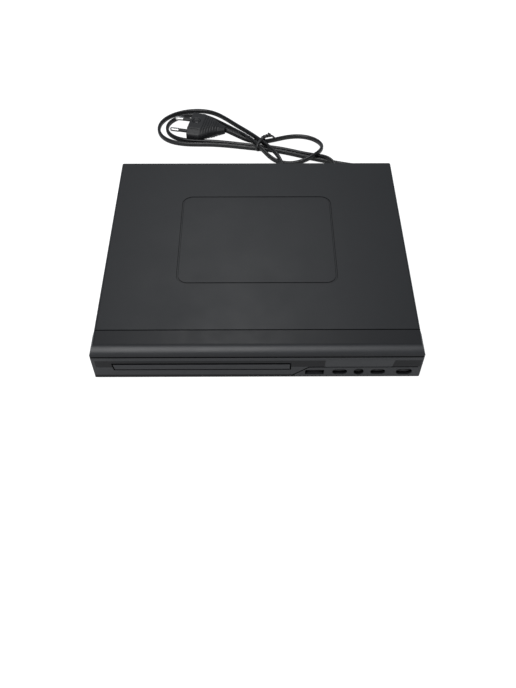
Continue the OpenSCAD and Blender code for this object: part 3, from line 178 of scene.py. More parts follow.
def spline(points, per=12):
    """A centripetal curve through the points, with per points to each span."""
    p = np.array(points, float)
    q = np.vstack([2 * p[0] - p[1], p, 2 * p[-1] - p[-2]])
    out = []
    for i in range(1, len(q) - 2):
        a, b, c, d = q[i - 1:i + 3]
        t0 = 0.0
        t1 = t0 + np.linalg.norm(b - a) ** 0.5
        t2 = t1 + np.linalg.norm(c - b) ** 0.5
        t3 = t2 + np.linalg.norm(d - c) ** 0.5
        for t in np.linspace(t1, t2, per, endpoint=False):
            ab = ((t1 - t) * a + (t - t0) * b) / (t1 - t0)
            bc = ((t2 - t) * b + (t - t1) * c) / (t2 - t1)
            cd = ((t3 - t) * c + (t - t2) * d) / (t3 - t2)
            abc = ((t2 - t) * ab + (t - t0) * bc) / (t2 - t0)
            bcd = ((t3 - t) * bc + (t - t1) * cd) / (t3 - t1)
            out.append(((t2 - t) * abc + (t - t1) * bcd) / (t2 - t1))
    out.append(p[-1])
    return np.array(out)


def evened(line, step, rounds):
    """The line with points a step apart, smoothed, and its length."""
    run = np.r_[0, np.cumsum(np.linalg.norm(np.diff(line, axis=0), axis=1))]
    at = np.linspace(0, run[-1], int(run[-1] / step) + 1)
    out = np.stack([np.interp(at, run, line[:, k]) for k in range(3)], 1)
    for _ in range(rounds):
        out[1:-1] = 0.5 * out[1:-1] + 0.25 * (out[:-2] + out[2:])
    return out, float(np.linalg.norm(np.diff(out, axis=0), axis=1).sum())


def swept(line, outline):
    """An outline of (across, up) points swept upright along a line that stays mostly level."""
    rings = []
    for i, p in enumerate(line):
        along = line[min(i + 1, len(line) - 1)] - line[max(i - 1, 0)]
        along = along / np.linalg.norm(along)
        side = np.array((along[1], -along[0], 0))
        side = side / np.linalg.norm(side)
        up = np.cross(side, along)
        rings.append([p + side * a + up * b for a, b in outline])
    return loft(rings)


# ---------- the mains lead ----------

# millimetres, from the gland to the plug, as in the part's own hank
ROUTE = [
    (106, 119.5, 14), (106, 125, 12.4), (104, 131, 9), (99, 137, 5.4), (92, 141, 3), (85, 143.5, 2.6),
    (74, 146.6, 2.5), (61, 150.6, 2.5), (48, 155, 2.5), (34, 160.2, 2.5), (19, 165, 2.5),
    # once through the tie and round the left lobe
    (4, 167.6, 2.5), (-14, 170.6, 2.5), (-30, 173.4, 2.5), (-46, 175, 2.5), (-62, 174.9, 2.5),
    (-78, 176.4, 2.5), (-92, 183, 2.5), (-99.5, 196, 2.5), (-98, 211, 2.5), (-88, 223, 2.5),
    (-73, 230, 2.5), (-58, 231.4, 2.5), (-44, 228, 2.5), (-30, 216, 2.5), (-18, 202.5, 3.4),
    (-8, 189.5, 6.2),
    # over the tie's lower turns and round the lobe behind the case
    (4, 174.8, 7.4), (14, 162.5, 7.4), (22, 150.5, 7.4), (26, 138, 3.6), (29, 126, 2.5), (36, 116, 2.5),
    (47, 110.5, 2.5), (60, 111, 2.5), (71, 117, 2.5), (77, 128, 2.5), (77, 139.5, 4.2), (71, 148.6, 7.2),
    (60, 154.8, 3.6), (46.5, 160, 2.5), (33, 165, 2.5), (18.5, 169.4, 2.5),
    # the second turn on the left
    (4, 171.4, 2.5), (-14, 174.4, 2.5), (-30, 177.4, 2.5), (-46, 179.4, 2.5), (-62, 180, 2.5),
    (-76, 182.4, 2.5), (-87, 189, 2.5), (-92, 200, 2.5), (-89, 212, 2.5), (-79, 220.6, 2.5),
    (-66, 224.2, 2.5), (-54, 222.6, 2.5), (-42, 214.5, 2.5), (-30, 204.6, 2.7), (-19, 193, 4.4),
    (-9.5, 181.6, 6.8),
    # over again, and the small loop on the right
    (0.5, 169.8, 7.4), (8, 158.6, 6), (16.5, 149, 2.8), (28, 144.4, 2.5), (41, 143.6, 4), (53, 147.6, 7.6),
    (62, 156, 7.8), (66, 166, 5.6), (64, 177, 2.8), (56, 185.2, 2.5), (44, 188.2, 2.5), (31.5, 187.2, 2.5),
    (18.4, 182, 2.5),
    # through the tie to the plug
    (5, 178, 2.6), (-8, 179.8, 3), (-19, 186, 5.2), (-31, 191.5, 7.4)]
LEAD_W, LEAD_T, LEAD_VALLEY = 4.8, 3.0, 0.22
LEAD_STEP, LEAD_ROUNDS = 2.0, 30


def lead_outline():
    """The flat twin lead's section: two round cores with a shallow valley between them."""
    r = LEAD_T / 2
    h = LEAD_W / 2 - r
    return in_mm(arc(0, h, r, 0, 22.5, 9) + [(-r + LEAD_VALLEY, 0)]
                 + arc(0, -h, r, 180, 22.5, 9) + [(r - LEAD_VALLEY, 0)])


def make_lead():
    line, length = evened(spline(ROUTE), LEAD_STEP, LEAD_ROUNDS)
    line, length = line * MM, length * MM
    lead = new_object("lead", *swept(line, lead_outline()))
    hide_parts("mains_lead", "mains_hank")
    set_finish(lead, "cord_black")
    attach(lead, "chassis")


# ---------- the plug ----------

# millimetres along the plug, from its neck to the face that carries the pins
PLUG_PLACE = placed((-0.031, 0.1915, 0.0074), 168)
ROUND_R, ROUND_FROM = 0.5, 35.5  # the ends' rounding, and where the front end's starts
STATIONS = [0.0, 0.15] + [ROUND_R + 0.25 * k for k in range(141)] + [35.75, 35.92]
SWELL_FROM, SWELL_L, SWELL_EASE = 5, 19, 0.35
NECK_W, COLLAR_W, BLOCK_W, COLLAR_L = 3.2, 2.4, 12.0, 5  # half widths, which add up
NECK_T, BLOCK_T, THICKEN_L = 3.4, 3.45, 11  # half thicknesses, which add up
FLAT, FLAT_GAIN = 0.52, 0.19  # the flat face's share of the width, and what the swell adds to it
FLANK, FLANK_GAIN = 1.9, 0.6  # the flank's half height, and what the swell adds to it
RIBS_FROM, RIBS_TO, RIB_FIRST, RIB_PITCH, RIB_DEPTH, RIB_POWER = 5.8, 22.2, 7, 2.4, 0.55, 1.5
DIMPLE_AT, DIMPLE_REACH, FACE_FROM = 29.5, 4.6, 3
BOWL_R, BOWL_WALL, BOWL_DEPTH = 3.4, 0.9, 1.3
DOME_R, DOME_H = 2.9, 0.9
WIDE_PARTS, SIDE_PARTS = 12, 3


def clamped(value):
    return min(max(value, 0), 1)


def corner_cut(ring, cut=0.22):
    """A closed ring with its corners cut off."""
    out = []
    for i, p in enumerate(ring):
        q = ring[(i + 1) % len(ring)]
        out += [p * (1 - cut) + q * cut, p * cut + q * (1 - cut)]
    return out


def plug_outline(s):
    """The plug's (across, up) outline at s: two flat faces between bevelled flanks."""
    rise = clamped((s - SWELL_FROM) / SWELL_L)
    rise = rise * rise * (3 - 2 * rise) * SWELL_EASE + rise * (1 - SWELL_EASE)
    past = max(s - ROUND_FROM, ROUND_R - s, 0)
    end = ROUND_R - math.sqrt(max(ROUND_R ** 2 - past ** 2, 0))
    groove = 0.0
    if RIBS_FROM < s < RIBS_TO:
        groove = RIB_DEPTH * max(0.0, math.cos(TURN * (s - RIB_FIRST) / RIB_PITCH)) ** RIB_POWER
    wide = NECK_W + clamped(s / COLLAR_L) * COLLAR_W + rise * BLOCK_W
    flat = wide * (FLAT + FLAT_GAIN * rise) - end
    wide -= end
    side = FLANK + FLANK_GAIN * rise - end * 0.4
    top = NECK_T + clamped(s / THICKEN_L) * BLOCK_T - end - groove
    corners = [np.array(p) for p in ((-wide, -side), (-flat, -top), (flat, -top), (wide, -side),
                                     (wide, side), (flat, top), (-flat, top), (-wide, side))]
    out = []
    for i, p in enumerate(corners):
        q = corners[(i + 1) % len(corners)]
        parts = WIDE_PARTS if i in (1, 5) else SIDE_PARTS
        out += [p + (q - p) * k / parts for k in range(parts)]
    return corner_cut(out)


def dimpled(s, y, z):
    """The height z of the plug's skin, lowered where the round dimple with its dome lies."""
    away = math.hypot(s - DIMPLE_AT, y)
    if abs(z) <= FACE_FROM or away >= DIMPLE_REACH:
        return z
    bowl = BOWL_DEPTH * (1 - clamped((away - BOWL_R) / BOWL_WALL) ** 2)
    dome = DOME_H * max(0, 1 - (away / DOME_R) ** 2) ** 0.5
    return z - math.copysign(max(bowl - dome, 0), z)


def make_plug():
    """The moulded plug: a ribbed taper, a block with a round dimple, and bevelled flanks."""
    rings = [[PLUG_PLACE @ Vector((s * MM, y * MM, dimpled(s, y, z) * MM)) for y, z in plug_outline(s)]
             for s in STATIONS]
    plug = new_object("plug_moulding", *loft(rings))
    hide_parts("plug_body")
    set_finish(plug, "plug_black")
    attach(plug, "chassis")


# ---------- the tie and the gland ----------

TIE_PLACE = placed((0.004, 0.171, 0), -32)
TIE_HALF_L, TIE_H, TIE_BASE, TIE_SLACK = 7.7, 10.2, 0.5, 0.2
TIE_W, TIE_T = 2.8, 0.9
TIE_FLAT_Y, TIE_FLAT_Z = 0.7, 0.75  # powers under 1 square the loop's corners
# the band's section in half widths and half thicknesses
TIE_SECTION = ((-1, 0), (-0.8, 0.7), (0, 1), (0.8, 0.7), (1, 0), (0.8, -0.4), (-0.8, -0.4))
TAIL = [(-0.5, 3.0, 10.1), (0.95, 6.0, 11.2), (3.4, 9.2, 11.4), (5.1, 11.8, 10.8)]
WIRE_R, TAIL_TURNS, TAIL_SKEW = 0.95, 2.5, 0.3
# each loose end: where its wire starts about the tail, how it leaves it, and how fast it drops
LOOSE_ENDS = ((0.0, (-1.1, 0.55), 0.08), (math.pi, (1.1, 0.05), 0.2))


def powered(value, power):
    return math.copysign(abs(value) ** power, value)


def tie_band():
    """The flat band round the bundle: a closed loop of rounded corners."""
    rings = []
    for c, s in around(40):
        y = powered(c, TIE_FLAT_Y) * TIE_HALF_L
        z = TIE_BASE + (TIE_H / 2 - TIE_SLACK) * (1 + powered(s, TIE_FLAT_Z))
        out = Vector((0, c / TIE_HALF_L, s / (TIE_H / 2))).normalized()
        rings.append([TIE_PLACE @ ((Vector((u * TIE_W / 2, y, z)) + out * (v * TIE_T / 2)) * MM)
                      for u, v in TIE_SECTION])
    return loft(rings, closed=True)


def tie_wire(start, leave, drop):
    """One of the two coated wires of the tail, twisted about it, with its loose end."""
    tail = spline(TAIL, 10)
    line = []
    for i, p in enumerate(tail):
        a = start + i / (len(tail) - 1) * TAIL_TURNS * TURN
        line.append(p + WIRE_R * np.array((math.cos(a), -TAIL_SKEW * math.cos(a), math.sin(a))))
    last = line[-1]
    line += [last + np.array((leave[0] * k, leave[1] * k, -drop * k * k)) for k in (1, 2, 3)]
    line = np.array([tuple(TIE_PLACE @ Vector(tuple(q * MM))) for q in spline(line, 3)])
    return swept(line, [(WIRE_R * MM * c, WIRE_R * MM * s) for c, s in around(10)])


def make_tie():
    """The coated wire tie round the bundle, twisted above it, with two loose ends."""
    tie = new_object("wire_tie", *joined([tie_band()] + [tie_wire(*end) for end in LOOSE_ENDS]))
    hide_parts("cord_tie")
    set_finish(tie, "tie_black")
    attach(tie, "chassis")


PANEL_Y = 99.5  # the rear panel's outer face
# the gland's flanges and neck, as (radius, distance behind the panel) in millimetres
GLAND = [(0, -5), (6, -5), (6, -1), (4.4, -1), (4.4, 0), (5.7, 0), (6, 0.3), (6, 2), (5.6, 2.4), (4.4, 2.6)]
BOOT_RIBS, BOOT_PITCH, BOOT_FROM, BOOT_L = 7, 2.2, 3.2, 20
BOOT_R, BOOT_TAPER, TAPER_FROM, TAPER_L = 4.4, 1.4, 2.4, 17.6
TIP_R, TIP_EDGE = 3.0, 0.2
# one rib and the gap behind it, as (distance along the boot, how far it's cut in)
BOOT_RIB = ((0, 0), (1.1, 0), (1.3, 0.75), (1.9, 0.75))


def make_boot():
    """The gland with a tapered, ribbed bend relief."""
    lo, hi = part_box("cord_gland")
    mid = (lo + hi) / 2
    profile = list(GLAND)
    for k in range(BOOT_RIBS):
        y = BOOT_FROM + BOOT_PITCH * k
        r = BOOT_R - BOOT_TAPER * (y - TAPER_FROM) / TAPER_L
        profile += [(r - cut, y + along) for along, cut in BOOT_RIB]
    profile += [(TIP_R, BOOT_FROM + BOOT_PITCH * BOOT_RIBS), (TIP_R, BOOT_L - TIP_EDGE),
                (TIP_R - TIP_EDGE, BOOT_L), (0, BOOT_L)]
    place = placed((mid.x, 0, mid.z), -90, "X")
    boot = new_object("gland_boot", *lathe(in_mm([(r, PANEL_Y + y) for r, y in profile]), place))
    soften(boot, 0.12 * MM, 1, 0.9)
    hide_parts("cord_gland")
    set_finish(boot, "cord_black")
    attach(boot, "chassis")


# ---------- buttons, feet, the vents' dark sheet and screws ---

# a button's flange, its depth from the cap's front to the flange's back, and its plunger
FLANGE, FLANGE_T, CAP_L = 0.8 * MM, 1.2 * MM, 1.7 * MM
STEM_R, STEM_IN, STEM_EDGE = 1.7 * MM, 0.5 * MM, 0.15 * MM
# the cap's rim, as (depth behind its front, distance inside its outline)
CAP_RIM = in_mm([(0.35, 0), (0.1, 0.1), (0, 0.3), (0.03, 0.55)])
DISH, DISH_STEPS = 0.4 * MM, (0.15, 0.3, 0.45, 0.6, 0.8, 0.98)


def pill_ring(x, y, z, half_w, half_h, inset):
    """A pill's outline in X and Z at the depth y, drawn in by inset."""
    run = half_w - half_h
    # a round outline has no straight part, so its two halves share no points
    count = 17 if run > 0.01 * MM else 16
    points = [p for end in (1, -1) for p in arc(x + end * run, z, half_h - inset, -90 * end, 11.25, count)]
    return [(a, y, b) for a, b in points]


def make_button(key):
    """A sunk cap with a rounded rim and a dished front, its flange and its plunger."""
    lo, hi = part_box(key + "_button")
    x, z = (lo.x + hi.x) / 2, (lo.z + hi.z) / 2
    half_w, half_h = (hi.x - lo.x) / 2 - FLANGE, (hi.z - lo.z) / 2 - FLANGE
    back, shoulder = lo.y + CAP_L, lo.y + CAP_L - FLANGE_T
    rim_y, rim = CAP_RIM[-1]
    steps = [(back, -FLANGE), (shoulder, -FLANGE), (shoulder, 0)]
    steps += [(lo.y + y, inset) for y, inset in CAP_RIM]
    steps += [(lo.y + rim_y + DISH * math.sin(TURN / 4 * t), rim + (half_h - rim) * t) for t in DISH_STEPS]
    cap = loft([pill_ring(x, y, z, half_w, half_h, inset) for y, inset in steps])
    stem = lathe([(0, back - STEM_IN), (STEM_R, back - STEM_IN), (STEM_R, hi.y - STEM_EDGE),
                  (STEM_R - STEM_EDGE, hi.y), (0, hi.y)], placed((x, 0, z), -90, "X"), 24)
    piece = new_object(key + "_cap", *joined([cap, stem]))
    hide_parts(key + "_button")
    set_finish(piece, "button_plastic")
    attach(piece, key + "_key")


FOOT_R = 8 * MM
# the tread, its hollow and the foot's side, as (radius, height)
FOOT = in_mm([(0, 0.6), (4.6, 0.6), (5.2, 0), (6.2, 0), (6.8, 0.2), (7.1, 0.7), (7.75, 4.3), (8, 4.5)])


def make_feet():
    """Moulded rubber feet with a rounded tread and a shallow hollow under it."""
    lo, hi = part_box("case_feet")
    parts = [lathe(FOOT + [(FOOT_R, hi.z), (0, hi.z)], placed((x, y, 0)), 40)
             for x in (lo.x + FOOT_R, hi.x - FOOT_R) for y in (lo.y + FOOT_R, hi.y - FOOT_R)]
    piece = new_object("rubber_feet", *joined(parts))
    soften(piece, 0.15 * MM, 2, 0.5)
    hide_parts("case_feet")
    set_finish(piece, "foot_rubber")
    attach(piece, "chassis")


SHEET = 1.0 * MM
BLACKOUT_X, BLACKOUT_Z, BLACKOUT_R = (-8 * MM, 80 * MM), (12.8 * MM, 30 * MM), 2.4 * MM
# the dark sheet and its rim, as (distance in front of the panel's inner face, distance inside the outline)
BLACKOUT = in_mm([(1.1, 1.0), (0.15, 1.0), (0.05, 0.9), (0.05, 0.3), (0.2, 0.1), (1.5, 0.1), (1.7, 0.3),
              (1.75, 0.8)])


def make_vent_blackout():
    """A dark sheet in a rim behind the louvres: painted shade, which stops light passing through the case.
    """
    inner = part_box("chassis_pan")[1].y - SHEET
    corners = [(BLACKOUT_X[1] - BLACKOUT_R, BLACKOUT_Z[1] - BLACKOUT_R), (BLACKOUT_X[0] + BLACKOUT_R, BLACKOUT_Z[1] - BLACKOUT_R),
               (BLACKOUT_X[0] + BLACKOUT_R, BLACKOUT_Z[0] + BLACKOUT_R), (BLACKOUT_X[1] - BLACKOUT_R, BLACKOUT_Z[0] + BLACKOUT_R)]
    rings = [[(a, inner - y, b) for k, (x, z) in enumerate(corners)
              for a, b in arc(x, z, BLACKOUT_R - inset, 90 * k, 15, 7)] for y, inset in BLACKOUT]
    piece = new_object("vent_felt", *loft(rings))
    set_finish(piece, "foot_rubber")
    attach(piece, "chassis")


# a screw's shank and pan head, as (radius, height above the head's underside)
HEAD_H, HEAD_R = 1.4 * MM, 2.8 * MM
SCREW = in_mm([(0, -4), (1.3, -4), (1.5, -3.7), (1.5, 0), (2.8, 0), (2.8, 0.7), (2.6, 1.1), (2.1, 1.34),
               (1.5, 1.4), (0, 1.4)])
CROSS_L, CROSS_W, CROSS_TAPER, CROSS_Z = 1.5, 0.32, 0.6, (0.45, 1.6)
SIDE_SCREWS = ((-0.060, 20), (0.070, 65))  # each one's Y, and how far its cross is turned
BACK_PITCH = 0.1


def screw_mesh():
    """A pan head with a cross recess, on its shank. The head's underside is at z = 0."""
    body = new_object("blank", *lathe(SCREW, Matrix.Identity(4), 32), smooth=False)
    cutters = []
    for a, b in ((CROSS_L, CROSS_W), (CROSS_W, CROSS_L)):
        rings = [[Vector((x * a * size, y * b * size, z)) * MM for x, y in SQUARE]
                 for size, z in ((CROSS_TAPER, CROSS_Z[0]), (1, CROSS_Z[1]))]
        cutters.append(new_object("cutter", *loft(rings), smooth=False))
        mod = body.modifiers.new("recess", "BOOLEAN")
        mod.operation = "DIFFERENCE"
        mod.solver = "EXACT"
        mod.object = cutters[-1]
    bpy.context.view_layer.update()
    mesh = bpy.data.meshes.new_from_object(body.evaluated_get(bpy.context.evaluated_depsgraph_get()))
    out = ([v.co.copy() for v in mesh.vertices], [tuple(p.vertices) for p in mesh.polygons])
    for spare in [body] + cutters:
        bpy.data.objects.remove(spare)
    return out


def make_screws():
    """The case's screws: two on each side and three at the back."""
    verts, faces = screw_mesh()
    lo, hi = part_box("case_screws")
    places = [(placed((x, y, lo.z + HEAD_R), 90 * s, "Y"), turn + 15 * s)
              for s, x in ((-1, lo.x + HEAD_H), (1, hi.x - HEAD_H)) for y, turn in SIDE_SCREWS]
    places += [(placed((k * BACK_PITCH, hi.y - HEAD_H, hi.z - HEAD_R), -90, "X"), 30 + 25 * k)
               for k in (-1, 0, 1)]
    parts = []
    for place, turn in places:
        place = place @ placed((0, 0, 0), turn)
        parts.append(([place @ v for v in verts], faces))
    piece = new_object("case_screw_set", *joined(parts), smooth=False)
    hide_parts("case_screws")
    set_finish(piece, "black_screws")
    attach(piece, "chassis")


# ---------- materials ----------

GRAIN_DEPTH, WAVE_DEPTH = 0.25, 0.05  # the depth of grain and waves, as shares of their size


def tree_of(block, out_kind):
    """The block's cleared node tree, and its output's surface."""
    block.use_nodes = True
    block.node_tree.nodes.clear()
    return block.node_tree, block.node_tree.nodes.new(out_kind).inputs["Surface"]


def node_of(tree, kind, **inputs):
    node = tree.nodes.new(kind)
    for name, value in inputs.items():
        node.inputs[name.replace("_", " ")].default_value = value
    return node


def math_of(tree, operation, *values):
    """A node for a sum, product or test of outputs and numbers."""
    node = tree.nodes.new("ShaderNodeMath")
    node.operation = operation
    for slot, value in zip(node.inputs, values):
        if isinstance(value, float):
            slot.default_value = value
        else:
            tree.links.new(value, slot)
    return node.outputs[0]


def product(tree, first, *others):
    for other in others:
        first = math_of(tree, "MULTIPLY", first, other)
    return first


def ramp_of(tree, source, stops):
    """A ramp of (position, colour) stops driven by the source."""
    ramp = tree.nodes.new("ShaderNodeValToRGB")
    steps = ramp.color_ramp.elements
    for k, (position, colour) in enumerate(stops):
        stop = steps[k] if k < 2 else steps.new(1.0)
        stop.position = position
        stop.color = (*colour, 1)
    tree.links.new(source, ramp.inputs["Fac"])
    return ramp.outputs["Color"]


def range_of(tree, source, **limits):
    node = node_of(tree, "ShaderNodeMapRange", **limits)
    tree.links.new(source, node.inputs["Value"])
    return node.outputs["Result"]


def painted_shade_of(tree, where, shade_gap, shade_bands, shade_corner):
    """What the colour is multiplied by: painted shade in narrow gaps, painted shade by height and painted
    shade on a low corner.
    """
    painted_shades = []
    # painted shade in gaps and recesses narrower than the given width: ambient occlusion, cubed
    if shade_gap > 0:
        shade = node_of(tree, "ShaderNodeAmbientOcclusion", Distance=shade_gap * MM)
        shade.samples = 8
        painted_shades += [shade.outputs["AO"]] * 3
    # painted shade by height: a ramp of (height, factor) bands
    if shade_bands:
        split = tree.nodes.new("ShaderNodeSeparateXYZ")
        tree.links.new(where, split.inputs[0])
        top = shade_bands[-1][0]
        height = range_of(tree, split.outputs["Z"], From_Max=top * MM)
        painted_shades.append(ramp_of(tree, height, [(z / top, (t, t, t)) for z, t in shade_bands]))
        # painted shade on what lies left of x and under the given height
        if shade_corner:
            inside = [math_of(tree, "LESS_THAN", split.outputs[side], limit * MM)
                      for side, limit in (("X", shade_corner[0]), ("Z", shade_corner[1]))]
            painted_shades.append(range_of(tree, product(tree, *inside), To_Min=1.0, To_Max=shade_corner[2]))
    return painted_shades


def material(name, colour, roughness, metallic=0.0, tint=0.08, grain=0.0, grain_size=0.4, wave=0.0,
             wave_size=20.0, rough_spread=0.08, specular=0.5, coat=0.0, stretch=(1, 1, 1), shade_gap=0.0, shade_bands=(),
             shade_corner=None):
    """A procedural finish: colour that varies a little, uneven gloss, fine grain and slow waves.
    Sizes are in millimetres. Gaps narrower than the shade gap get painted shade from ambient occlusion.
    The height bands are (height, factor) pairs: painted shade by height. The shade corner goes with them and
    is (x, height, factor): painted shade on what lies left of x and under that height."""
    mat = bpy.data.materials.new(name)
    tree, surface = tree_of(mat, "ShaderNodeOutputMaterial")
    link = tree.links.new
    shader = node_of(tree, "ShaderNodeBsdfPrincipled", Metallic=metallic, Specular_IOR_Level=specular,
                     Coat_Weight=coat, Coat_Roughness=0.08)
    link(shader.outputs["BSDF"], surface)
    where = tree.nodes.new("ShaderNodeTexCoord").outputs["Object"]
    mapping = node_of(tree, "ShaderNodeMapping", Scale=stretch)
    link(where, mapping.inputs["Vector"])
    slow, fine = (node_of(tree, "ShaderNodeTexNoise", Scale=1 / MM / size, Detail=detail, Roughness=0.6)
                  for size, detail in ((wave_size, 3.0), (grain_size, 2.0)))
    for noise in (slow, fine):
        link(mapping.outputs["Vector"], noise.inputs["Vector"])
    slow, fine = slow.outputs["Fac"], fine.outputs["Fac"]

    dark = [c * (1 - tint) for c in colour]
    light = [min(c * (1 + tint), 1) for c in colour]
    base = ramp_of(tree, product(tree, math_of(tree, "ADD", slow, fine), 0.5), [(0.3, dark), (0.7, light)])
    painted_shades = painted_shade_of(tree, where, shade_gap, shade_bands, shade_corner)
    # the painted shade darkens both the colour and the specular level
    if painted_shades:
        shade_factor = product(tree, *painted_shades)
        shaded = tree.nodes.new("ShaderNodeVectorMath")
        shaded.operation = "MULTIPLY"
        link(base, shaded.inputs[0])
        link(shade_factor, shaded.inputs[1])
        base = shaded.outputs["Vector"]
        link(product(tree, shade_factor, specular), shader.inputs["Specular IOR Level"])
    link(base, shader.inputs["Base Color"])
    gloss = range_of(tree, slow, To_Min=max(roughness - rough_spread, 0.02),
                     To_Max=min(roughness + rough_spread, 1))
    link(gloss, shader.inputs["Roughness"])

    normal = shader.inputs["Normal"]
    layers = ((slow, wave, wave_size * WAVE_DEPTH), (fine, grain, grain_size * GRAIN_DEPTH))
    for source, strength, depth in layers:
        if strength > 0:
            bump = node_of(tree, "ShaderNodeBump", Strength=strength, Distance=depth * MM)
            link(source, bump.inputs["Height"])
            link(bump.outputs["Normal"], normal)
            normal = bump.inputs["Normal"]
    return mat


FINISHES = {
    # the gap widths given here are how narrow a gap or recess must be to get painted shade
    "cover_paint": dict(colour=(0.0095, 0.0104, 0.012), roughness=0.46, specular=0.41, grain=0.35,
                        grain_size=0.5, wave_size=45, shade_gap=0.6),
    # bezel: painted shade by height, darker on the bottom edge, over the face, on the lower part of the roll
    # and on the flat top, and painted shade along the bottom edge left of x = 28 mm
    "bezel_plastic": dict(colour=(0.020, 0.021, 0.0235), roughness=0.42, grain=0.12, grain_size=0.3, shade_gap=2.5,
                          shade_bands=((0, 0.5), (5.8, 0.5), (6.4, 0.78), (30.6, 0.78), (31.0, 0.42), (36.5, 1),
                                 (37.6, 1), (37.95, 0.56), (40, 0.56)), shade_corner=(28, 8.2, 0.38)),
    "strip_gloss": dict(colour=(0.009, 0.009, 0.010), roughness=0.16, specular=0.17, rough_spread=0.04,
                        shade_gap=1.5),
    "window_smoke": dict(colour=(0.028, 0.029, 0.031), roughness=0.2, specular=0.28, rough_spread=0.04),
    "button_plastic": dict(colour=(0.028, 0.028, 0.030), roughness=0.4, grain=0.1, grain_size=0.3, shade_gap=5.0),
    "zinc_steel": dict(colour=(0.55, 0.57, 0.58), roughness=0.42, metallic=1.0, tint=0.12, grain_size=3,
                       wave_size=9, rough_spread=0.12),
    "foot_rubber": dict(colour=(0.018, 0.018, 0.018), roughness=0.8, grain=0.4, grain_size=0.4),
    "black_screws": dict(colour=(0.02, 0.02, 0.022), roughness=0.35, metallic=0.4),
    "zinc_screws": dict(colour=(0.6, 0.6, 0.56), roughness=0.32, metallic=1.0, tint=0.1),
    "black_plastic": dict(colour=(0.026, 0.026, 0.029), roughness=0.55, grain=0.25, grain_size=0.35),
    "jack_metal": dict(colour=(0.68, 0.68, 0.69), roughness=0.22, metallic=1.0, tint=0.05),
    "ring_yellow": dict(colour=(0.72, 0.52, 0.02), roughness=0.45, grain=0.1, grain_size=0.3),
    "ring_white": dict(colour=(0.72, 0.72, 0.70), roughness=0.45, grain=0.1, grain_size=0.3),
    "ring_red": dict(colour=(0.50, 0.018, 0.018), roughness=0.45, grain=0.1, grain_size=0.3),
    "motor_steel": dict(colour=(0.42, 0.43, 0.45), roughness=0.32, metallic=1.0, tint=0.1, wave_size=8),
    "belt_rubber": dict(colour=(0.012, 0.012, 0.012), roughness=0.75, grain=0.3, grain_size=0.2),
    "board_green": dict(colour=(0.010, 0.10, 0.045), roughness=0.4, tint=0.3, grain=0.15, grain_size=0.8,
                        wave_size=4),
    "board_brown": dict(colour=(0.36, 0.22, 0.085), roughness=0.6, tint=0.2, grain=0.2, grain_size=0.5,
                        wave_size=5),
    "transformer_tape": dict(colour=(0.66, 0.50, 0.06), roughness=0.35, tint=0.12, wave=0.3, wave_size=3),
    "capacitor_sleeve": dict(colour=(0.028, 0.032, 0.12), roughness=0.25, tint=0.1),
    "display_body": dict(colour=(0.18, 0.18, 0.19), roughness=0.5, grain=0.1, grain_size=0.3),
    "usb_black": dict(colour=(0.02, 0.02, 0.02), roughness=0.5, grain=0.1, grain_size=0.3, shade_gap=3.0),
    "socket_steel": dict(colour=(0.22, 0.22, 0.23), roughness=0.45, metallic=1.0, shade_gap=5.0),
    "ribbon_grey": dict(colour=(0.55, 0.55, 0.51), roughness=0.5, grain=0.5, grain_size=1.2,
                        stretch=(1, 0.02, 1)),
    "cord_black": dict(colour=(0.005, 0.005, 0.0055), roughness=0.34, grain=0.12, grain_size=0.5,
                       wave_size=12),
    "tie_black": dict(colour=(0.013, 0.013, 0.014), roughness=0.35, grain=0.2, grain_size=0.4),
    "plug_black": dict(colour=(0.008, 0.008, 0.009), roughness=0.42, grain=0.3, grain_size=0.35),
    "pin_nickel": dict(colour=(0.70, 0.69, 0.67), roughness=0.16, metallic=1.0, tint=0.06, wave_size=3),
    "tray_black": dict(colour=(0.020, 0.020, 0.022), roughness=0.48, grain=0.3, grain_size=0.3),
    "gear_white": dict(colour=(0.70, 0.68, 0.62), roughness=0.45, tint=0.04, grain=0.1, grain_size=0.3),
    "rod_steel": dict(colour=(0.64, 0.65, 0.66), roughness=0.18, metallic=1.0, tint=0.05, grain_size=0.3,
                      stretch=(1, 0.05, 1)),
    "sled_metal": dict(colour=(0.26, 0.27, 0.28), roughness=0.55, metallic=0.8, grain=0.5, grain_size=0.6),
    "lens_glass": dict(colour=(0.06, 0.10, 0.22), roughness=0.05, specular=0.8, coat=1.0, rough_spread=0.02),
}


def dress():
    """Each CAD node and each piece gets its slot's finish."""
    made = {name: material(name, **spec) for name, spec in FINISHES.items()}
    for part in frame["record"]["subparts"]:
        mesh = NODES[part["node"]].data
        mesh.materials.clear()
        mesh.materials.append(made[part["material_slot"]])
        for p in mesh.polygons:
            p.material_index = 0
    for piece in bpy.data.objects:
        if piece.type == "MESH" and piece.get("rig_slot"):
            piece.data.materials.clear()
            piece.data.materials.append(made[piece["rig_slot"]])


# ---------- floor, world and lamps ----------

FLOOR_HALF = 3


def seen_apart(tree, surface, others, camera):
    """Gives the surface one shader as the camera sees it, and another for all other light."""
    pick = tree.nodes.new("ShaderNodeMixShader")
    path = tree.nodes.new("ShaderNodeLightPath")
    tree.links.new(path.outputs["Is Camera Ray"], pick.inputs["Fac"])
    tree.links.new(others.outputs[0], pick.inputs[1])
    tree.links.new(camera.outputs[0], pick.inputs[2])
    tree.links.new(pick.outputs[0], surface)


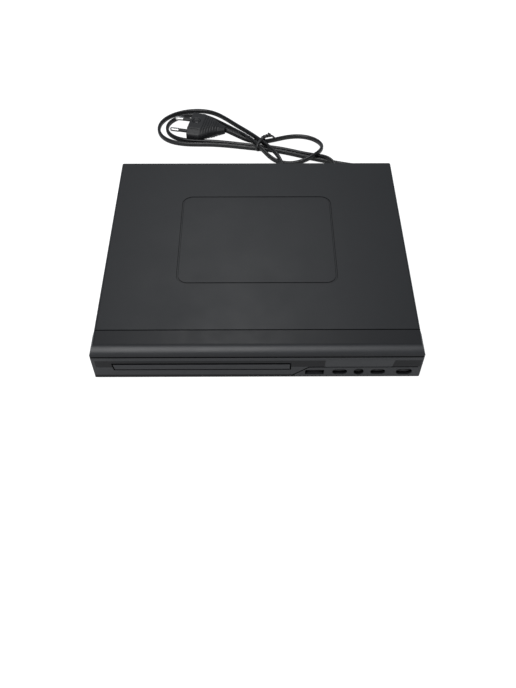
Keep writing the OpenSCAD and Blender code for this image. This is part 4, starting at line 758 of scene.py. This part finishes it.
def make_stage():
    """A pale floor that looks nearly white to the camera."""
    corners = [(x * FLOOR_HALF, y * FLOOR_HALF, 0) for x, y in SQUARE]
    floor = new_object("floor", corners, [(0, 1, 2, 3)], smooth=False)
    mat = bpy.data.materials.new("floor_pale")
    tree, surface = tree_of(mat, "ShaderNodeOutputMaterial")
    plain = node_of(tree, "ShaderNodeBsdfDiffuse", Color=(0.8, 0.8, 0.8, 1))
    seen = node_of(tree, "ShaderNodeBsdfDiffuse", Color=(0.28, 0.28, 0.28, 1))
    glow = node_of(tree, "ShaderNodeEmission", Color=(0.93, 0.93, 0.93, 1), Strength=1.0)
    both = tree.nodes.new("ShaderNodeAddShader")
    tree.links.new(seen.outputs[0], both.inputs[0])
    tree.links.new(glow.outputs[0], both.inputs[1])
    seen_apart(tree, surface, plain, both)
    floor.data.materials.append(mat)


def make_world():
    """A soft, slightly blue light all round, in front of a white background."""
    world = bpy.data.worlds.new("studio")
    tree, surface = tree_of(world, "ShaderNodeOutputWorld")
    soft = node_of(tree, "ShaderNodeBackground", Color=(0.88, 0.93, 1.0, 1), Strength=0.34)
    white = node_of(tree, "ShaderNodeBackground", Color=(1, 1, 1, 1), Strength=1.0)
    seen_apart(tree, surface, soft, white)
    bpy.context.scene.world = world


def lamp(name, place, aim, size, power):
    data = bpy.data.lights.new(name, "AREA")
    data.shape = "RECTANGLE"
    data.size, data.size_y = size
    data.energy = power
    light = bpy.data.objects.new(name, data)
    bpy.context.scene.collection.objects.link(light)
    light.location = place
    light.rotation_euler = (Vector(aim) - Vector(place)).to_track_quat("-Z", "Y").to_euler()


make_camera()
make_plug()
make_tie()
make_boot()
make_lead()
for key in ("eject", "play", "stop", "power"):
    make_button(key)
make_feet()
make_screws()
make_vent_blackout()
dress()
make_stage()
make_world()
lamp("key", place=(-0.28, -0.93, 1.06), aim=(0, -0.06, 0.03), size=(0.95, 1.5), power=17)
# small and near, so that its reflection is a soft pool of light on the cover
lamp("back", place=(-0.06, 0.66, 1.04), aim=(0, -0.1, 0.04), size=(0.25, 0.25), power=2.4)
bpy.context.scene.view_settings.view_transform = "Standard"
